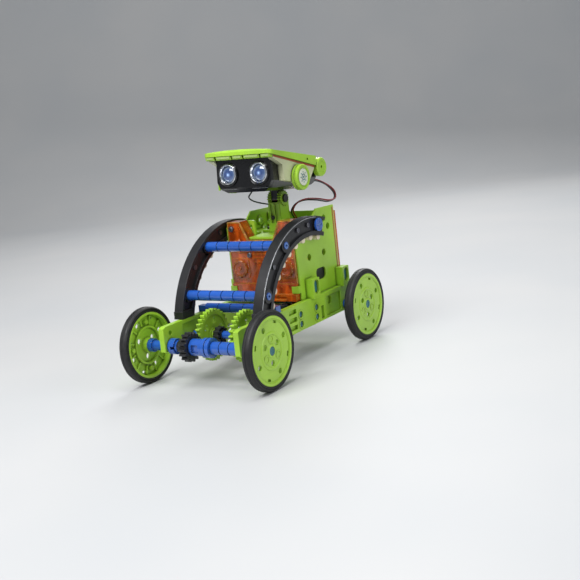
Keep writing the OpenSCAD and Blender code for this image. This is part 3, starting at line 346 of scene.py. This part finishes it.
def add_lathe(bm, matrix, profile, segments=40):
    """Revolve (radius, height) points about local Z. A radius of 0 closes that end."""
    rings = []
    for radius, height in profile:
        if radius == 0:
            rings.append([bm.verts.new(matrix @ Vector((0, 0, height)))])
            continue
        ring = []
        for i in range(segments):
            a = 2 * math.pi * i / segments
            ring.append(bm.verts.new(matrix @ Vector((radius * math.cos(a), radius * math.sin(a), height))))
        rings.append(ring)
    for low, high in zip(rings, rings[1:]):
        for i in range(segments):
            j = (i + 1) % segments
            corners = [low[i % len(low)], low[j % len(low)], high[j % len(high)], high[i % len(high)]]
            unique = list(dict.fromkeys(corners))
            if len(unique) > 2:
                bm.faces.new(unique)


def add_screw_head(bm, matrix, radius, height, recess=0.45):
    """Domed head with a cross recess. The underside is closed a little below the seat."""
    segments, steps = 48, 12
    arm, half = 0.62 * radius, 0.17 * radius

    def level(x, y):
        dome = height * math.sqrt(max(0.0, 1 - (math.hypot(x, y) / (1.08 * radius)) ** 2))
        inside = (abs(x) < half and abs(y) < arm) or (abs(y) < half and abs(x) < arm)
        return dome - (recess * height if inside else 0.0)

    top = bm.verts.new(matrix @ Vector((0, 0, level(0, 0))))
    rings = []
    for k in range(1, steps + 1):
        r = radius * k / steps
        ring = []
        for i in range(segments):
            a = 2 * math.pi * i / segments
            x, y = r * math.cos(a), r * math.sin(a)
            ring.append(bm.verts.new(matrix @ Vector((x, y, level(x, y)))))
        rings.append(ring)
    foot = [bm.verts.new(matrix @ Vector((radius * math.cos(2 * math.pi * i / segments),
                                          radius * math.sin(2 * math.pi * i / segments), -0.05 * MM)))
            for i in range(segments)]
    rings.append(foot)
    for i in range(segments):
        bm.faces.new([top, rings[0][i], rings[0][(i + 1) % segments]])
    for inner, outer in zip(rings, rings[1:]):
        for i in range(segments):
            j = (i + 1) % segments
            bm.faces.new([inner[i], outer[i], outer[j], inner[j]])
    bm.faces.new(list(reversed(foot)))


def smooth_path(points, steps=8):
    """Catmull-Rom curve through the points."""
    pts = [Vector(p) for p in points]
    pts = [2 * pts[0] - pts[1]] + pts + [2 * pts[-1] - pts[-2]]
    path = []
    for a, b, c, d in zip(pts, pts[1:], pts[2:], pts[3:]):
        for k in range(steps):
            t = k / steps
            path.append(0.5 * ((2 * b) + (c - a) * t + (2 * a - 5 * b + 4 * c - d) * t * t
                               + (3 * b - a - 3 * c + d) * t ** 3))
    return path + [pts[-2]]


def add_tube(bm, path, radius, sides=12, closed=False):
    """Round tube along a path, with its ends capped unless it is closed."""
    count = len(path)
    side = None
    rings = []
    for i, point in enumerate(path):
        ahead = path[(i + 1) % count] if closed or i < count - 1 else point
        behind = path[i - 1] if closed or i > 0 else point
        along = (ahead - behind).normalized()
        if side is None:
            side = along.orthogonal().normalized()
        side = (side - along * side.dot(along)).normalized()
        other = along.cross(side)
        rings.append([bm.verts.new(point + radius * (math.cos(a) * side + math.sin(a) * other))
                      for a in (2 * math.pi * k / sides for k in range(sides))])
    pairs = list(zip(rings, rings[1:] + rings[:1])) if closed else list(zip(rings, rings[1:]))
    for low, high in pairs:
        for k in range(sides):
            j = (k + 1) % sides
            bm.faces.new([low[k], low[j], high[j], high[k]])
    if not closed:
        bm.faces.new(list(reversed(rings[0])))
        bm.faces.new(rings[-1])


def add_slab(bm, matrix, outline, low, high, bevel=0.0):
    """Prism of a local XY outline between two heights, with its upper edge chamfered by bevel."""
    middle = sum((Vector(p) for p in outline), Vector((0, 0))) / len(outline)
    inset = []
    for p in outline:
        away = Vector(p) - middle
        inset.append(middle + away * (1 - bevel / max(away.length, 1e-9)))
    if bevel:
        levels = [(outline, low), (outline, high - bevel), (inset, high)]
    else:
        levels = [(outline, low), (outline, high)]
    rings = [[bm.verts.new(matrix @ Vector((p[0], p[1], z))) for p in shape] for shape, z in levels]
    for lower, upper in zip(rings, rings[1:]):
        for i in range(len(outline)):
            j = (i + 1) % len(outline)
            bm.faces.new([lower[i], lower[j], upper[j], upper[i]])
    bm.faces.new(list(reversed(rings[0])))
    bm.faces.new(rings[-1])


def rounded(width, height, radius, centre=(0, 0), corner_steps=6):
    """Outline of a rectangle with round corners."""
    outline = []
    for k, (sx, sy) in enumerate(((1, 1), (-1, 1), (-1, -1), (1, -1))):
        cx, cy = sx * (width / 2 - radius), sy * (height / 2 - radius)
        for i in range(corner_steps + 1):
            a = math.pi / 2 * (k + i / corner_steps)
            outline.append((centre[0] + cx + radius * math.cos(a), centre[1] + cy + radius * math.sin(a)))
    return outline


# Head: everything is placed in the head's own level frame and then pitched as the head is

tilt = Vector(joints["head_tilt"]["pos_m"])
PITCH = math.radians(5)
ROOF_SLOPE = math.radians(5.5)
ROOF_LOW_SLOPE = math.radians(9.4)
head_frame = Matrix.Translation(tilt) @ Matrix.Rotation(-PITCH, 4, "X")
eye_low, eye_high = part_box("eye_lenses")
eye_radius = (eye_high.z - eye_low.z) / 2 / math.cos(PITCH)
eye_x = eye_high.x - eye_radius
eye_z = (eye_low.z + eye_high.z) / 2

# Front edge of the roof and the height of its lower face there, in the head's own frame
ROOF_FRONT = -43.4 * MM
ROOF_UNDER = 28.1 * MM


def under_roof(y):
    """Height of the roof's lower face at y, in the head's own frame."""
    return ROOF_UNDER - (y - ROOF_FRONT) * math.tan(ROOF_LOW_SLOPE)


def build_eyes():
    """Glass for the lenses, with a black bezel round each ring and a silver ledge below each eye, a painted
    highlight line.
    """
    glass = eye_lens("lens", eye_x, eye_z, eye_radius)
    nodes["eye_lenses"].data.materials.clear()
    nodes["eye_lenses"].data.materials.append(glass)
    forward = head_frame.to_3x3() @ Vector((0, -1, 0))
    ring_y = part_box("eye_rings")[0].y + 0.95 * MM
    face_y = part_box("head_housing")[0].y + 1.2 * MM
    ledge_z = eye_z - 8.9 * MM
    r = eye_radius + 1.95 * MM
    bezel, ledge_highlights = bmesh.new(), bmesh.new()
    for side in (-1, 1):
        at = frame_at((side * eye_x, ring_y, eye_z), forward)
        add_lathe(bezel, at, [(r, -0.5 * MM), (r + 0.5 * MM, -0.3 * MM), (r + 0.6 * MM, 0.1 * MM),
                              (r + 0.2 * MM, 0.35 * MM), (r - 0.15 * MM, 0.1 * MM), (r, -0.5 * MM)], 64)
        ledge = frame_at((side * eye_x, face_y, ledge_z), forward)
        add_slab(ledge_highlights, ledge, rounded(11.5 * MM, 0.5 * MM, 0.2 * MM), -1.0 * MM, 0.1 * MM)
    piece("eye_bezels", bezel, head_black, "head")
    piece("eye_ledge_highlights", ledge_highlights, silver_and_highlight_line, "head")


def build_face_trim():
    """Lime bead down the right edge of the face, and pale caps on the five ribs under the roof's lip."""
    bead = bmesh.new()
    edge_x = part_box("head_housing")[0].x - 0.25 * MM
    edge_y = -34.2 * MM
    add_tube(bead, [head_frame @ Vector((edge_x, edge_y, z * MM)) for z in (7.4, 11, 16, 21.4)], 0.75 * MM)
    piece("face_trim", bead, lime, "head")
    caps = bmesh.new()
    rib_normal = head_frame.to_3x3() @ Vector((0, -2.1, -0.8))
    rib_spans = ((-23.4, -17), (-15.8, -4.7), (-3.6, 3.6), (4.7, 15.8), (17, 23.4))
    for x0, x1 in rib_spans:
        middle = (x0 + x1) / 2 * MM
        centre = head_frame @ Vector((middle, ROOF_FRONT + 1.0 * MM, ROOF_UNDER - 0.9 * MM))
        half = (x1 - x0) / 2 * MM
        outline = [(-half + 0.5 * MM, 0.75 * MM), (-half + 0.9 * MM, -0.75 * MM),
                   (half - 0.9 * MM, -0.75 * MM), (half - 0.5 * MM, 0.75 * MM)]
        add_slab(caps, frame_at(centre, rib_normal), outline, -0.4 * MM, 0.22 * MM, 0.12 * MM)
    piece("rib_caps", caps, rib_pale, "head")


def build_badges():
    """Pale round plate on each ear disc, with a plain ring of dots round a raised centre."""
    low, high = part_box("ear_discs")
    centre_y, centre_z = (low.y + high.y) / 2, (low.z + high.z) / 2
    for side, face in ((1, high.x), (-1, low.x)):
        at = frame_at((face - side * 0.40 * MM, centre_y, centre_z), (side, 0, 0))
        plate = bmesh.new()
        add_lathe(plate, at, [(0, -0.02 * MM), (5.2 * MM, -0.02 * MM), (5.2 * MM, 0.18 * MM),
                              (4.9 * MM, 0.28 * MM), (0, 0.28 * MM)], 64)
        name = "left" if side > 0 else "right"
        piece(f"ear_badge_{name}", plate, cream_badge, "head")
        dots = bmesh.new()
        add_lathe(dots, at, [(2.0 * MM, 0.26 * MM), (2.0 * MM, 0.40 * MM), (1.55 * MM, 0.40 * MM),
                             (1.55 * MM, 0.26 * MM), (2.0 * MM, 0.26 * MM)], 48)
        add_lathe(dots, at, [(0.6 * MM, 0.26 * MM), (0.6 * MM, 0.38 * MM), (0, 0.44 * MM)], 24)
        for i in range(8):
            a = math.pi * i / 4
            spot = at @ Matrix.Translation((3.1 * MM * math.cos(a), 3.1 * MM * math.sin(a), 0))
            add_lathe(dots, spot, [(0.42 * MM, 0.26 * MM), (0.42 * MM, 0.38 * MM), (0, 0.42 * MM)], 16)
        piece(f"ear_badge_dots_{name}", dots, teal, "head")


def build_cheek_stripes():
    """Painted line along the top of each cheek, following the roof's lower face."""
    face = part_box("left_cheek")[1].x
    front, rear = -38.7 * MM, 8.0 * MM
    corners = ((front, 0.15 * MM), (rear, 0.15 * MM), (rear, 1.4 * MM), (front, 1.25 * MM))
    for side, name in ((1, "left"), (-1, "right")):
        stripe = bmesh.new()
        at = head_frame @ frame_at((side * face, 0, 0), (side, 0, 0))
        outline = [(side * y, under_roof(y) - drop) for y, drop in corners]
        add_slab(stripe, at, outline, -0.05 * MM, 0.15 * MM)
        piece(f"cheek_stripe_{name}", stripe, stripe_brown, "head")


def solar_front():
    """Front edge of the solar cell's face, its length and its slope in the world."""
    low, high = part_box("solar_cell")
    slope = PITCH + ROOF_SLOPE
    thick = 0.95 * MM
    front = Vector((0, low.y + thick * math.sin(slope), high.z))
    return front, (high.y - front.y) / math.cos(slope), slope


def build_solar_strips():
    """Cell strips with silver fingers and two bus bars, just above the cell's face."""
    low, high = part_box("solar_cell")
    front, length, slope = solar_front()
    normal = Vector((0, math.sin(slope), math.cos(slope)))
    at = frame_at(front, normal, (0, 1, 0))
    width = high.x - low.x
    rows = 8
    fingers = 5
    gap = 0.7 * MM
    step = (length - 2 * gap) / rows
    cells = bmesh.new()
    for row in range(rows):
        centre = (0, gap + step * (row + 0.5))
        outline = rounded(width - 2.4 * MM, step - gap, 0.35 * MM, centre)
        add_slab(cells, at, outline, -0.02 * MM, 0.12 * MM, 0.05 * MM)
    piece("solar_strips", cells, solar, "head")
    lines = bmesh.new()
    for row in range(rows):
        for k in range(1, fingers + 1):
            centre = (0, gap + step * row + gap / 2 + (step - gap) * k / (fingers + 1))
            outline = rounded(width - 3.2 * MM, 0.10 * MM, 0.04 * MM, centre, 2)
            add_slab(lines, at, outline, 0.08 * MM, 0.15 * MM)
    for x in (-0.24 * width, 0.24 * width):
        outline = rounded(1.0 * MM, length - 1.6 * MM, 0.3 * MM, (x, length / 2))
        add_slab(lines, at, outline, 0.08 * MM, 0.17 * MM)
    piece("solar_lines", lines, silver_and_highlight_line, "head")


def build_roof_screws():
    """Small screws along both rims beside the solar cell."""
    front, length, slope = solar_front()
    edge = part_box("solar_cell")[1].x + 1.35 * MM
    normal = Vector((0, math.sin(slope), math.cos(slope)))
    along = Vector((0, math.cos(slope), -math.sin(slope)))
    heads = bmesh.new()
    for x in (-edge, edge):
        for t in (0.05, 0.5, 0.95):
            point = front + along * (t * length) + normal * 0.15 * MM + Vector((x, 0, 0))
            add_screw_head(heads, frame_at(point, normal, (0, 1, 0)), 0.75 * MM, 0.35 * MM)
    piece("roof_screw_heads", heads, screw_steel, "head")


# Wires

def build_wires():
    """Two wires from the deck to the head's rear, and one loop in front of the neck."""
    deck_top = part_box("neck_column")[0].z
    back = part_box("head_housing")[1].y
    hole = (3 * MM, tilt.y + 14 * MM, deck_top - 1.2 * MM)
    for shift, material, name in ((0.0, wire_black, "head_wire_black"), (1.5, wire_red, "head_wire_red")):
        s = shift * MM
        lift = 0.55 * s
        loop = [
            (hole[0] + 0.5 * s, hole[1], hole[2]),
            (hole[0] + 1.2 * MM + s, hole[1] - 2.5 * MM, hole[2] + 6 * MM),
            (0.0055 + s, tilt.y + 5.6 * MM, 0.0868 + lift),
            (0.0080 + s, tilt.y + 8.0 * MM, 0.0915 + lift),
            (0.0105 + s, tilt.y + 15 * MM, 0.0928 + lift),
            (0.0140 + s, tilt.y + 23.5 * MM, 0.0916 + lift),
            (0.0168 + s, tilt.y + 32 * MM, 0.0893 + lift),
            (0.0176 + s, tilt.y + 39 * MM, 0.0894 + lift),
            (0.0180 + 0.5 * s, tilt.y + 41.2 * MM, 0.0922 + lift),
            (0.0178 + 0.5 * s, tilt.y + 38.2 * MM, 0.0962 + lift),
            (0.0172, tilt.y + 31.5 * MM - 0.6 * s, 0.1008 + lift),
            (0.0162 - 0.5 * s, tilt.y + 23 * MM, 0.1040 + lift),
            (0.0152 - s, back - 0.6 * MM, 0.1046 + lift),
        ]
        bm = bmesh.new()
        add_tube(bm, smooth_path(loop, 10), 0.52 * MM)
        wire = piece(name, bm, material, None)
        if shift == 0.0:
            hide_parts("head_wires")
        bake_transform(wire)
    loop = [
        (-0.0036, tilt.y + 0.5 * MM, 0.0922), (-0.0062, tilt.y - 3 * MM, 0.0934),
        (-0.0082, tilt.y - 9 * MM, 0.0952), (-0.0096, tilt.y - 14.6 * MM, 0.0974),
        (-0.0103, tilt.y - 17.3 * MM, 0.1000), (-0.0100, tilt.y - 15 * MM, 0.1022),
        (-0.0098, tilt.y - 12.6 * MM, 0.1040),
    ]
    bm = bmesh.new()
    add_tube(bm, smooth_path(loop, 10), 0.45 * MM)
    wire = piece("front_wire_loop", bm, wire_black, None)
    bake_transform(wire)


# Body details

def build_cover_beads():
    """Raised bead round the front cover's edge and along its notch, in a bright orange that paints the edge's
    glow, with moulded discs and ribs.
    """
    low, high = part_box("gearbox_front_cover")
    front = low.y + 3.4 * MM
    half = high.x - 0.35 * MM
    top = high.z - 0.35 * MM
    notch_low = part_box("neck_column")[0].z - 2.0 * MM
    corners = [(-half, low.z + 11 * MM), (-half, top), (-14.6 * MM, top), (-9.3 * MM, notch_low),
               (9.3 * MM, notch_low), (14.6 * MM, top), (half, top), (half, low.z + 11 * MM)]
    bead = bmesh.new()
    for (x0, z0), (x1, z1) in zip(corners, corners[1:]):
        start, end = Vector((x0, front, z0)), Vector((x1, front, z1))
        add_tube(bead, [start, (start + end) / 2, end], 0.42 * MM, 12)
    shift = Vector((0, 0, -1.7 * MM))
    for (x0, z0), (x1, z1) in zip(corners[2:5], corners[3:6]):
        path = [Vector((x0, front, z0)) + shift, Vector((x1, front, z1)) + shift]
        add_tube(bead, path, 0.28 * MM, 10)
    piece("cover_edge_glow_bead", bead, orange_edge_glow, "chassis")
    relief = bmesh.new()
    for x in (-17 * MM, 17 * MM):
        for z, teeth, r in ((low.z + 20.4 * MM, 12, 4.2), (low.z + 34.5 * MM, 9, 3.0)):
            at = frame_at((x, front - 0.05 * MM, z), (0, -1, 0))
            lift = 1.30 if teeth == 12 else 0.0
            add_lathe(relief, at, [
                ((r + 1.0) * MM, (lift - 0.1) * MM), ((r + 1.0) * MM, (lift + 0.35) * MM),
                ((r + 0.6) * MM, (lift + 0.6) * MM), ((r - 0.2) * MM, (lift + 0.5) * MM),
                ((r - 0.5) * MM, (lift + 0.1) * MM), (1.3 * MM, (lift + 0.1) * MM),
                (1.1 * MM, (lift + 0.7) * MM), (0, (lift + 0.8) * MM)], 48)
            for i in range(teeth):
                a = 2 * math.pi * i / teeth
                out = (r + 1.1) * MM
                spot = at @ Matrix.Translation((out * math.cos(a), out * math.sin(a), 0))
                add_lathe(relief, spot, [(0.65 * MM, (lift - 0.2) * MM), (0.60 * MM, (lift + 0.3) * MM),
                                         (0.35 * MM, (lift + 0.52) * MM), (0, (lift + 0.6) * MM)], 12)
    for k in range(5):
        z = notch_low - (3.4 + 2.6 * k) * MM
        path = [Vector((x, front, z)) for x in (-6.4 * MM, -2 * MM, 2 * MM, 6.4 * MM)]
        add_tube(relief, path, 0.40 * MM, 10)
    piece("cover_relief", relief, orange, "chassis")


def build_screw_heads():
    """Domed cross-head screws over the arches' and covers' plain screws."""
    heads = bmesh.new()
    low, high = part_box("arch_screws")
    centre = arch_centre()
    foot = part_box("left_arch")[0]
    radius = math.hypot(foot.y - centre.y, foot.z + 0.05 * MM - centre.z) - 5 * MM
    screw_angles = (44, 78, 90)
    for face, side in ((high.x, 1), (low.x, -1)):
        for angle in screw_angles:
            a = math.radians(180 - angle)
            point = (face, centre.y + radius * math.cos(a), centre.z + radius * math.sin(a))
            add_screw_head(heads, frame_at(point, (side, 0, 0)), 1.5 * MM, 0.45 * MM)
    piece("arch_screw_heads", heads, screw_steel, "chassis")
    covers = bmesh.new()
    low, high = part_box("cover_screws")
    inner_x, inner_z = 9.2 * MM, 64.4 * MM
    outer_x, outer_z = 21 * MM, high.z - 2.1 * MM
    back_heights = (40 * MM, 80.5 * MM)
    size = (1.6 * MM, 0.6 * MM)
    for side in (-1, 1):
        add_screw_head(covers, frame_at((side * inner_x, low.y, inner_z), (0, -1, 0)), *size)
        add_screw_head(covers, frame_at((side * outer_x, low.y, outer_z), (0, -1, 0)), *size)
        for z in back_heights:
            add_screw_head(covers, frame_at((side * outer_x, high.y, z), (0, 1, 0)), *size)
    piece("cover_screw_heads", covers, screw_steel, "chassis")


def arch_centre():
    """Centre of the arches' circle in the side view, from the wheels and the arch's own box."""
    low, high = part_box("left_arch")
    axle = joints["front_axle_spin"]["pos_m"][2]
    radius = high.z - axle
    reach = math.sqrt(radius ** 2 - (low.z - axle) ** 2)
    return Vector((0, low.y + reach, axle))


def build_arch_lines():
    """Silver line along each arch's outer edge, a painted highlight; cross marks on each top plug and pale tube
    ends.
    """
    low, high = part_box("left_arch")
    centre = arch_centre()
    radius = high.z - centre.z - 0.75 * MM
    start = math.asin((low.z + 1 * MM - centre.z) / radius)
    end = math.radians(98)
    steps = 60
    lines, marks = bmesh.new(), bmesh.new()
    plug_low, plug_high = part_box("arch_top_plugs")
    plug = (plug_low + plug_high) / 2
    for side in (1, -1):
        path = []
        for k in range(steps + 1):
            a = start + (end - start) * k / steps
            path.append(Vector((side * (high.x - 0.05 * MM), centre.y - radius * math.cos(a),
                                centre.z + radius * math.sin(a))))
        # Painted highlight: a thin silver tube along the arch's outer rim edge, where light catches it.
        add_tube(lines, path, 0.22 * MM, 8)
        at = frame_at((side * (plug_high.x - 0.4 * MM), plug.y, plug.z), (side, 0, 0))
        for size in ((5.2 * MM, 0.6 * MM), (0.6 * MM, 5.2 * MM)):
            add_slab(marks, at, rounded(size[0], size[1], 0.15 * MM), -0.05 * MM, 0.25 * MM)
        for tube in ("upper_cross_tube", "lower_cross_tube"):
            tube_low, tube_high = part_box(tube)
            middle = (tube_low + tube_high) / 2
            at = frame_at((side * (tube_high.x - 0.1 * MM), middle.y, middle.z), (side, 0, 0))
            add_lathe(marks, at, [(1.75 * MM, 0), (1.75 * MM, 0.22 * MM), (1.5 * MM, 0.3 * MM),
                                  (1.2 * MM, 0.22 * MM), (1.2 * MM, 0), (1.75 * MM, 0)], 36)
    piece("arch_edge_highlight_lines", lines, silver_and_highlight_line, "chassis")
    piece("blue_part_marks", marks, pale_blue, "chassis")


def build_plate_details():
    """Dark sheet inside each side plate's slot, painted shade there, and a two-coloured line up each plate's
    rear edge.
    """
    slot_shade, dark, gold = bmesh.new(), bmesh.new(), bmesh.new()
    low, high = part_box("left_side_plate")
    slot_y, slot_z = 37.3 * MM, 47.4 * MM
    line_z = (low.z + high.z) / 2 + 1 * MM
    line = rounded(0.7 * MM, high.z - low.z - 6 * MM, 0.3 * MM)
    for side in (1, -1):
        at = frame_at((side * (high.x - 1.25 * MM), slot_y, slot_z), (side, 0, 0))
        add_slab(slot_shade, at, rounded(13.4 * MM, 9.2 * MM, 3 * MM), -0.7 * MM, -0.05 * MM)
        for bm, y in ((dark, high.y - 1.9 * MM), (gold, high.y - 0.9 * MM)):
            at = frame_at((side * high.x, y, line_z), (side, 0, 0))
            add_slab(bm, at, line, -0.05 * MM, 0.12 * MM)
    piece("slot_shade_sheets", slot_shade, black, "chassis")
    piece("plate_dark_lines", dark, stripe_brown, "chassis")
    piece("plate_gold_lines", gold, gold_line, "chassis")


def build_rail_hole_shade():
    """Dark teal discs in the rails' round bosses and windows in the clips: painted shade in the holes, tinted
    by the blue parts behind.
    """
    hole_shade = bmesh.new()
    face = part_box("left_side_rail")[1].x
    rail_face = face - 2.2 * MM
    clip_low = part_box("left_side_rail")[1].z - 12 * MM
    for side in (1, -1):
        for y in (3 * MM, 22 * MM):
            for z in (22.7 * MM, 28.8 * MM):
                at = frame_at((side * (rail_face - 1.55 * MM), y, z), (side, 0, 0))
                add_lathe(hole_shade, at, [(0, 0), (2.0 * MM, 0), (2.0 * MM, 1.0 * MM), (1.6 * MM, 1.15 * MM),
                                      (1.2 * MM, 0.75 * MM), (0.4 * MM, 0.65 * MM), (0, 0.95 * MM)], 32)
        for y in (21.65 * MM, 59.65 * MM):
            at = frame_at((side * (face - 3.0 * MM), y, clip_low + 6.6 * MM), (side, 0, 0))
            add_slab(hole_shade, at, rounded(4.4 * MM, 7.8 * MM, 2.1 * MM), 0.6 * MM, 1.7 * MM, 0.4 * MM)
    piece("rail_hole_shade", hole_shade, teal, "chassis")


def build_hub_caps():
    """Dished cap over each axle end."""
    for end, body in (("front", "front_axle_set"), ("rear", "rear_axle_set")):
        axle = joints[f"{end}_axle_spin"]["pos_m"]
        caps = bmesh.new()
        for side, name in ((1, "left"), (-1, "right")):
            low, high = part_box(f"{end}_{name}_wheel")
            face = high.x if side > 0 else low.x
            at = frame_at((face - side * 1.15 * MM, axle[1], axle[2]), (side, 0, 0))
            add_lathe(caps, at, [(0, 0), (2.5 * MM, 0), (2.5 * MM, 0.65 * MM), (2.1 * MM, 0.95 * MM),
                                 (1.5 * MM, 0.95 * MM), (1.25 * MM, 0.60 * MM), (0.5 * MM, 0.60 * MM),
                                 (0, 0.80 * MM)], 40)
        piece(f"{end}_hub_caps", caps, teal, body)


def build_wheel_beads():
    """Raised lines on each wheel's face: one inside the rim and short ribs between the small slots."""
    for end, body in (("front", "front_axle_set"), ("rear", "rear_axle_set")):
        axle = joints[f"{end}_axle_spin"]["pos_m"]
        for side, name in ((1, "left"), (-1, "right")):
            low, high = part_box(f"{end}_{name}_wheel")
            face = high.x if side > 0 else low.x
            inner = low.x if side > 0 else high.x
            beads = bmesh.new()
            web = face - side * 0.7 * MM
            at = frame_at((web, axle[1], axle[2]), (side, 0, 0))
            add_lathe(beads, at, [(17.9 * MM, -0.10 * MM), (17.9 * MM, 0.18 * MM), (17.6 * MM, 0.30 * MM),
                                  (17.3 * MM, 0.18 * MM), (17.3 * MM, -0.10 * MM), (17.9 * MM, -0.10 * MM)], 96)
            for i in range(3):
                a = math.radians(90 + 120 * i)
                spot = at @ Matrix.Translation((6.9 * MM * math.cos(a), 6.9 * MM * math.sin(a), 0))
                ring = [(2.45 * MM, -0.05 * MM), (2.45 * MM, 0.22 * MM), (2.15 * MM, 0.32 * MM),
                        (1.85 * MM, 0.22 * MM), (1.85 * MM, -0.05 * MM), (2.45 * MM, -0.05 * MM)]
                add_lathe(beads, spot, ring, 32)
            back = frame_at((inner, axle[1], axle[2]), (-side, 0, 0))
            for i in range(12):
                a = math.radians(15 + 30 * i)
                spot = back @ Matrix.Rotation(a, 4, "Z") @ Matrix.Translation((15 * MM, 0, -3.4 * MM))
                add_slab(beads, spot, rounded(5.6 * MM, 0.8 * MM, 0.35 * MM), -0.2 * MM, 1.2 * MM, 0.2 * MM)
            piece(f"{end}_{name}_wheel_beads", beads, lime_wheel, body)


finish_cad_nodes()
build_eyes()
build_badges()
build_face_trim()
build_cheek_stripes()
build_solar_strips()
build_roof_screws()
build_wires()
build_cover_beads()
build_screw_heads()
build_arch_lines()
build_plate_details()
build_rail_hole_shade()
build_hub_caps()
build_wheel_beads()


# Floor, light and camera

CAMERA_TURN = math.radians(33.083)
CAMERA_RISE = math.radians(10.87)
CAMERA_ROLL = math.radians(-6.315)


def pale_floor():
    """Plain floor that curves up into a backdrop well behind the robot."""
    bm = bmesh.new()
    reach, bend = 1.6, 0.5
    profile = [(-reach, 0.0), (0.9, 0.0)]
    for k in range(1, 13):
        a = math.pi / 2 * k / 12
        profile.append((0.9 + bend * math.sin(a), bend * (1 - math.cos(a))))
    profile.append((0.9 + bend, 2.2))
    rows = [[bm.verts.new((x, y, z)) for x in (-2.4, 2.4)] for y, z in profile]
    for low, high in zip(rows, rows[1:]):
        bm.faces.new([low[0], low[1], high[1], high[0]])
    mesh = bpy.data.meshes.new("floor")
    for face in bm.faces:
        face.smooth = True
    bm.to_mesh(mesh)
    bm.free()
    s = Shader("floor_paint")
    cloud = s.span(s.noise(6, 2), 0.3, 0.7)
    s.set(Base_Color=s.mix(cloud, rgb(0.50, 0.51, 0.52), rgb(0.54, 0.54, 0.54)))
    s.set(Roughness=0.6)
    mesh.materials.append(s.material)
    floor = bpy.data.objects.new("floor", mesh)
    floor.rotation_euler = (0, 0, CAMERA_TURN)
    bpy.context.scene.collection.objects.link(floor)


def area_light(name, azimuth, elevation, distance, size, power, colour=(1, 1, 1)):
    a, e = math.radians(azimuth), math.radians(elevation)
    aim = Vector((0, 0, 0.06))
    away = Vector((math.sin(a) * math.cos(e), -math.cos(a) * math.cos(e), math.sin(e)))
    data = bpy.data.lights.new(name, "AREA")
    data.shape = "RECTANGLE"
    data.size, data.size_y = size, size * 0.7
    data.energy = power
    data.color = colour
    light = bpy.data.objects.new(name, data)
    light.location = aim + away * distance
    light.rotation_euler = away.to_track_quat("Z", "Y").to_euler()
    bpy.context.scene.collection.objects.link(light)


def camera():
    """Camera ahead of the robot's left front wheel, a little above the axles, rolled as the view is."""
    away = Vector((math.sin(CAMERA_TURN) * math.cos(CAMERA_RISE),
                   -math.cos(CAMERA_TURN) * math.cos(CAMERA_RISE), math.sin(CAMERA_RISE)))
    right = Vector((math.cos(CAMERA_TURN), math.sin(CAMERA_TURN), 0))
    up = away.cross(right)
    tilted_right = right * math.cos(CAMERA_ROLL) + up * math.sin(CAMERA_ROLL)
    tilted_up = up * math.cos(CAMERA_ROLL) - right * math.sin(CAMERA_ROLL)
    data = bpy.data.cameras.new("camera")
    data.sensor_width = 36
    data.lens = 62.71
    data.clip_start = 0.01
    cam = bpy.data.objects.new("camera", data)
    turn = Matrix((tilted_right, tilted_up, away)).transposed().to_4x4()
    cam.matrix_world = Matrix.Translation(Vector((0.35324, -0.50420, 0.16021))) @ turn
    bpy.context.scene.collection.objects.link(cam)
    bpy.context.scene.camera = cam


pale_floor()
area_light("key", -5, 48, 0.9, 0.55, 7.5)
area_light("fill", 95, 25, 1.1, 0.7, 3.2, (0.95, 0.98, 1.0))
area_light("top", 30, 80, 0.9, 0.6, 3.4)
area_light("rim", 200, 35, 1.0, 0.5, 4.5)
camera()
world = bpy.data.worlds.new("studio")
world.use_nodes = True
world.node_tree.nodes["Background"].inputs["Color"].default_value = (0.86, 0.90, 0.95, 1)
world.node_tree.nodes["Background"].inputs["Strength"].default_value = 0.30
bpy.context.scene.world = world
bpy.context.scene.view_settings.view_transform = "Standard"
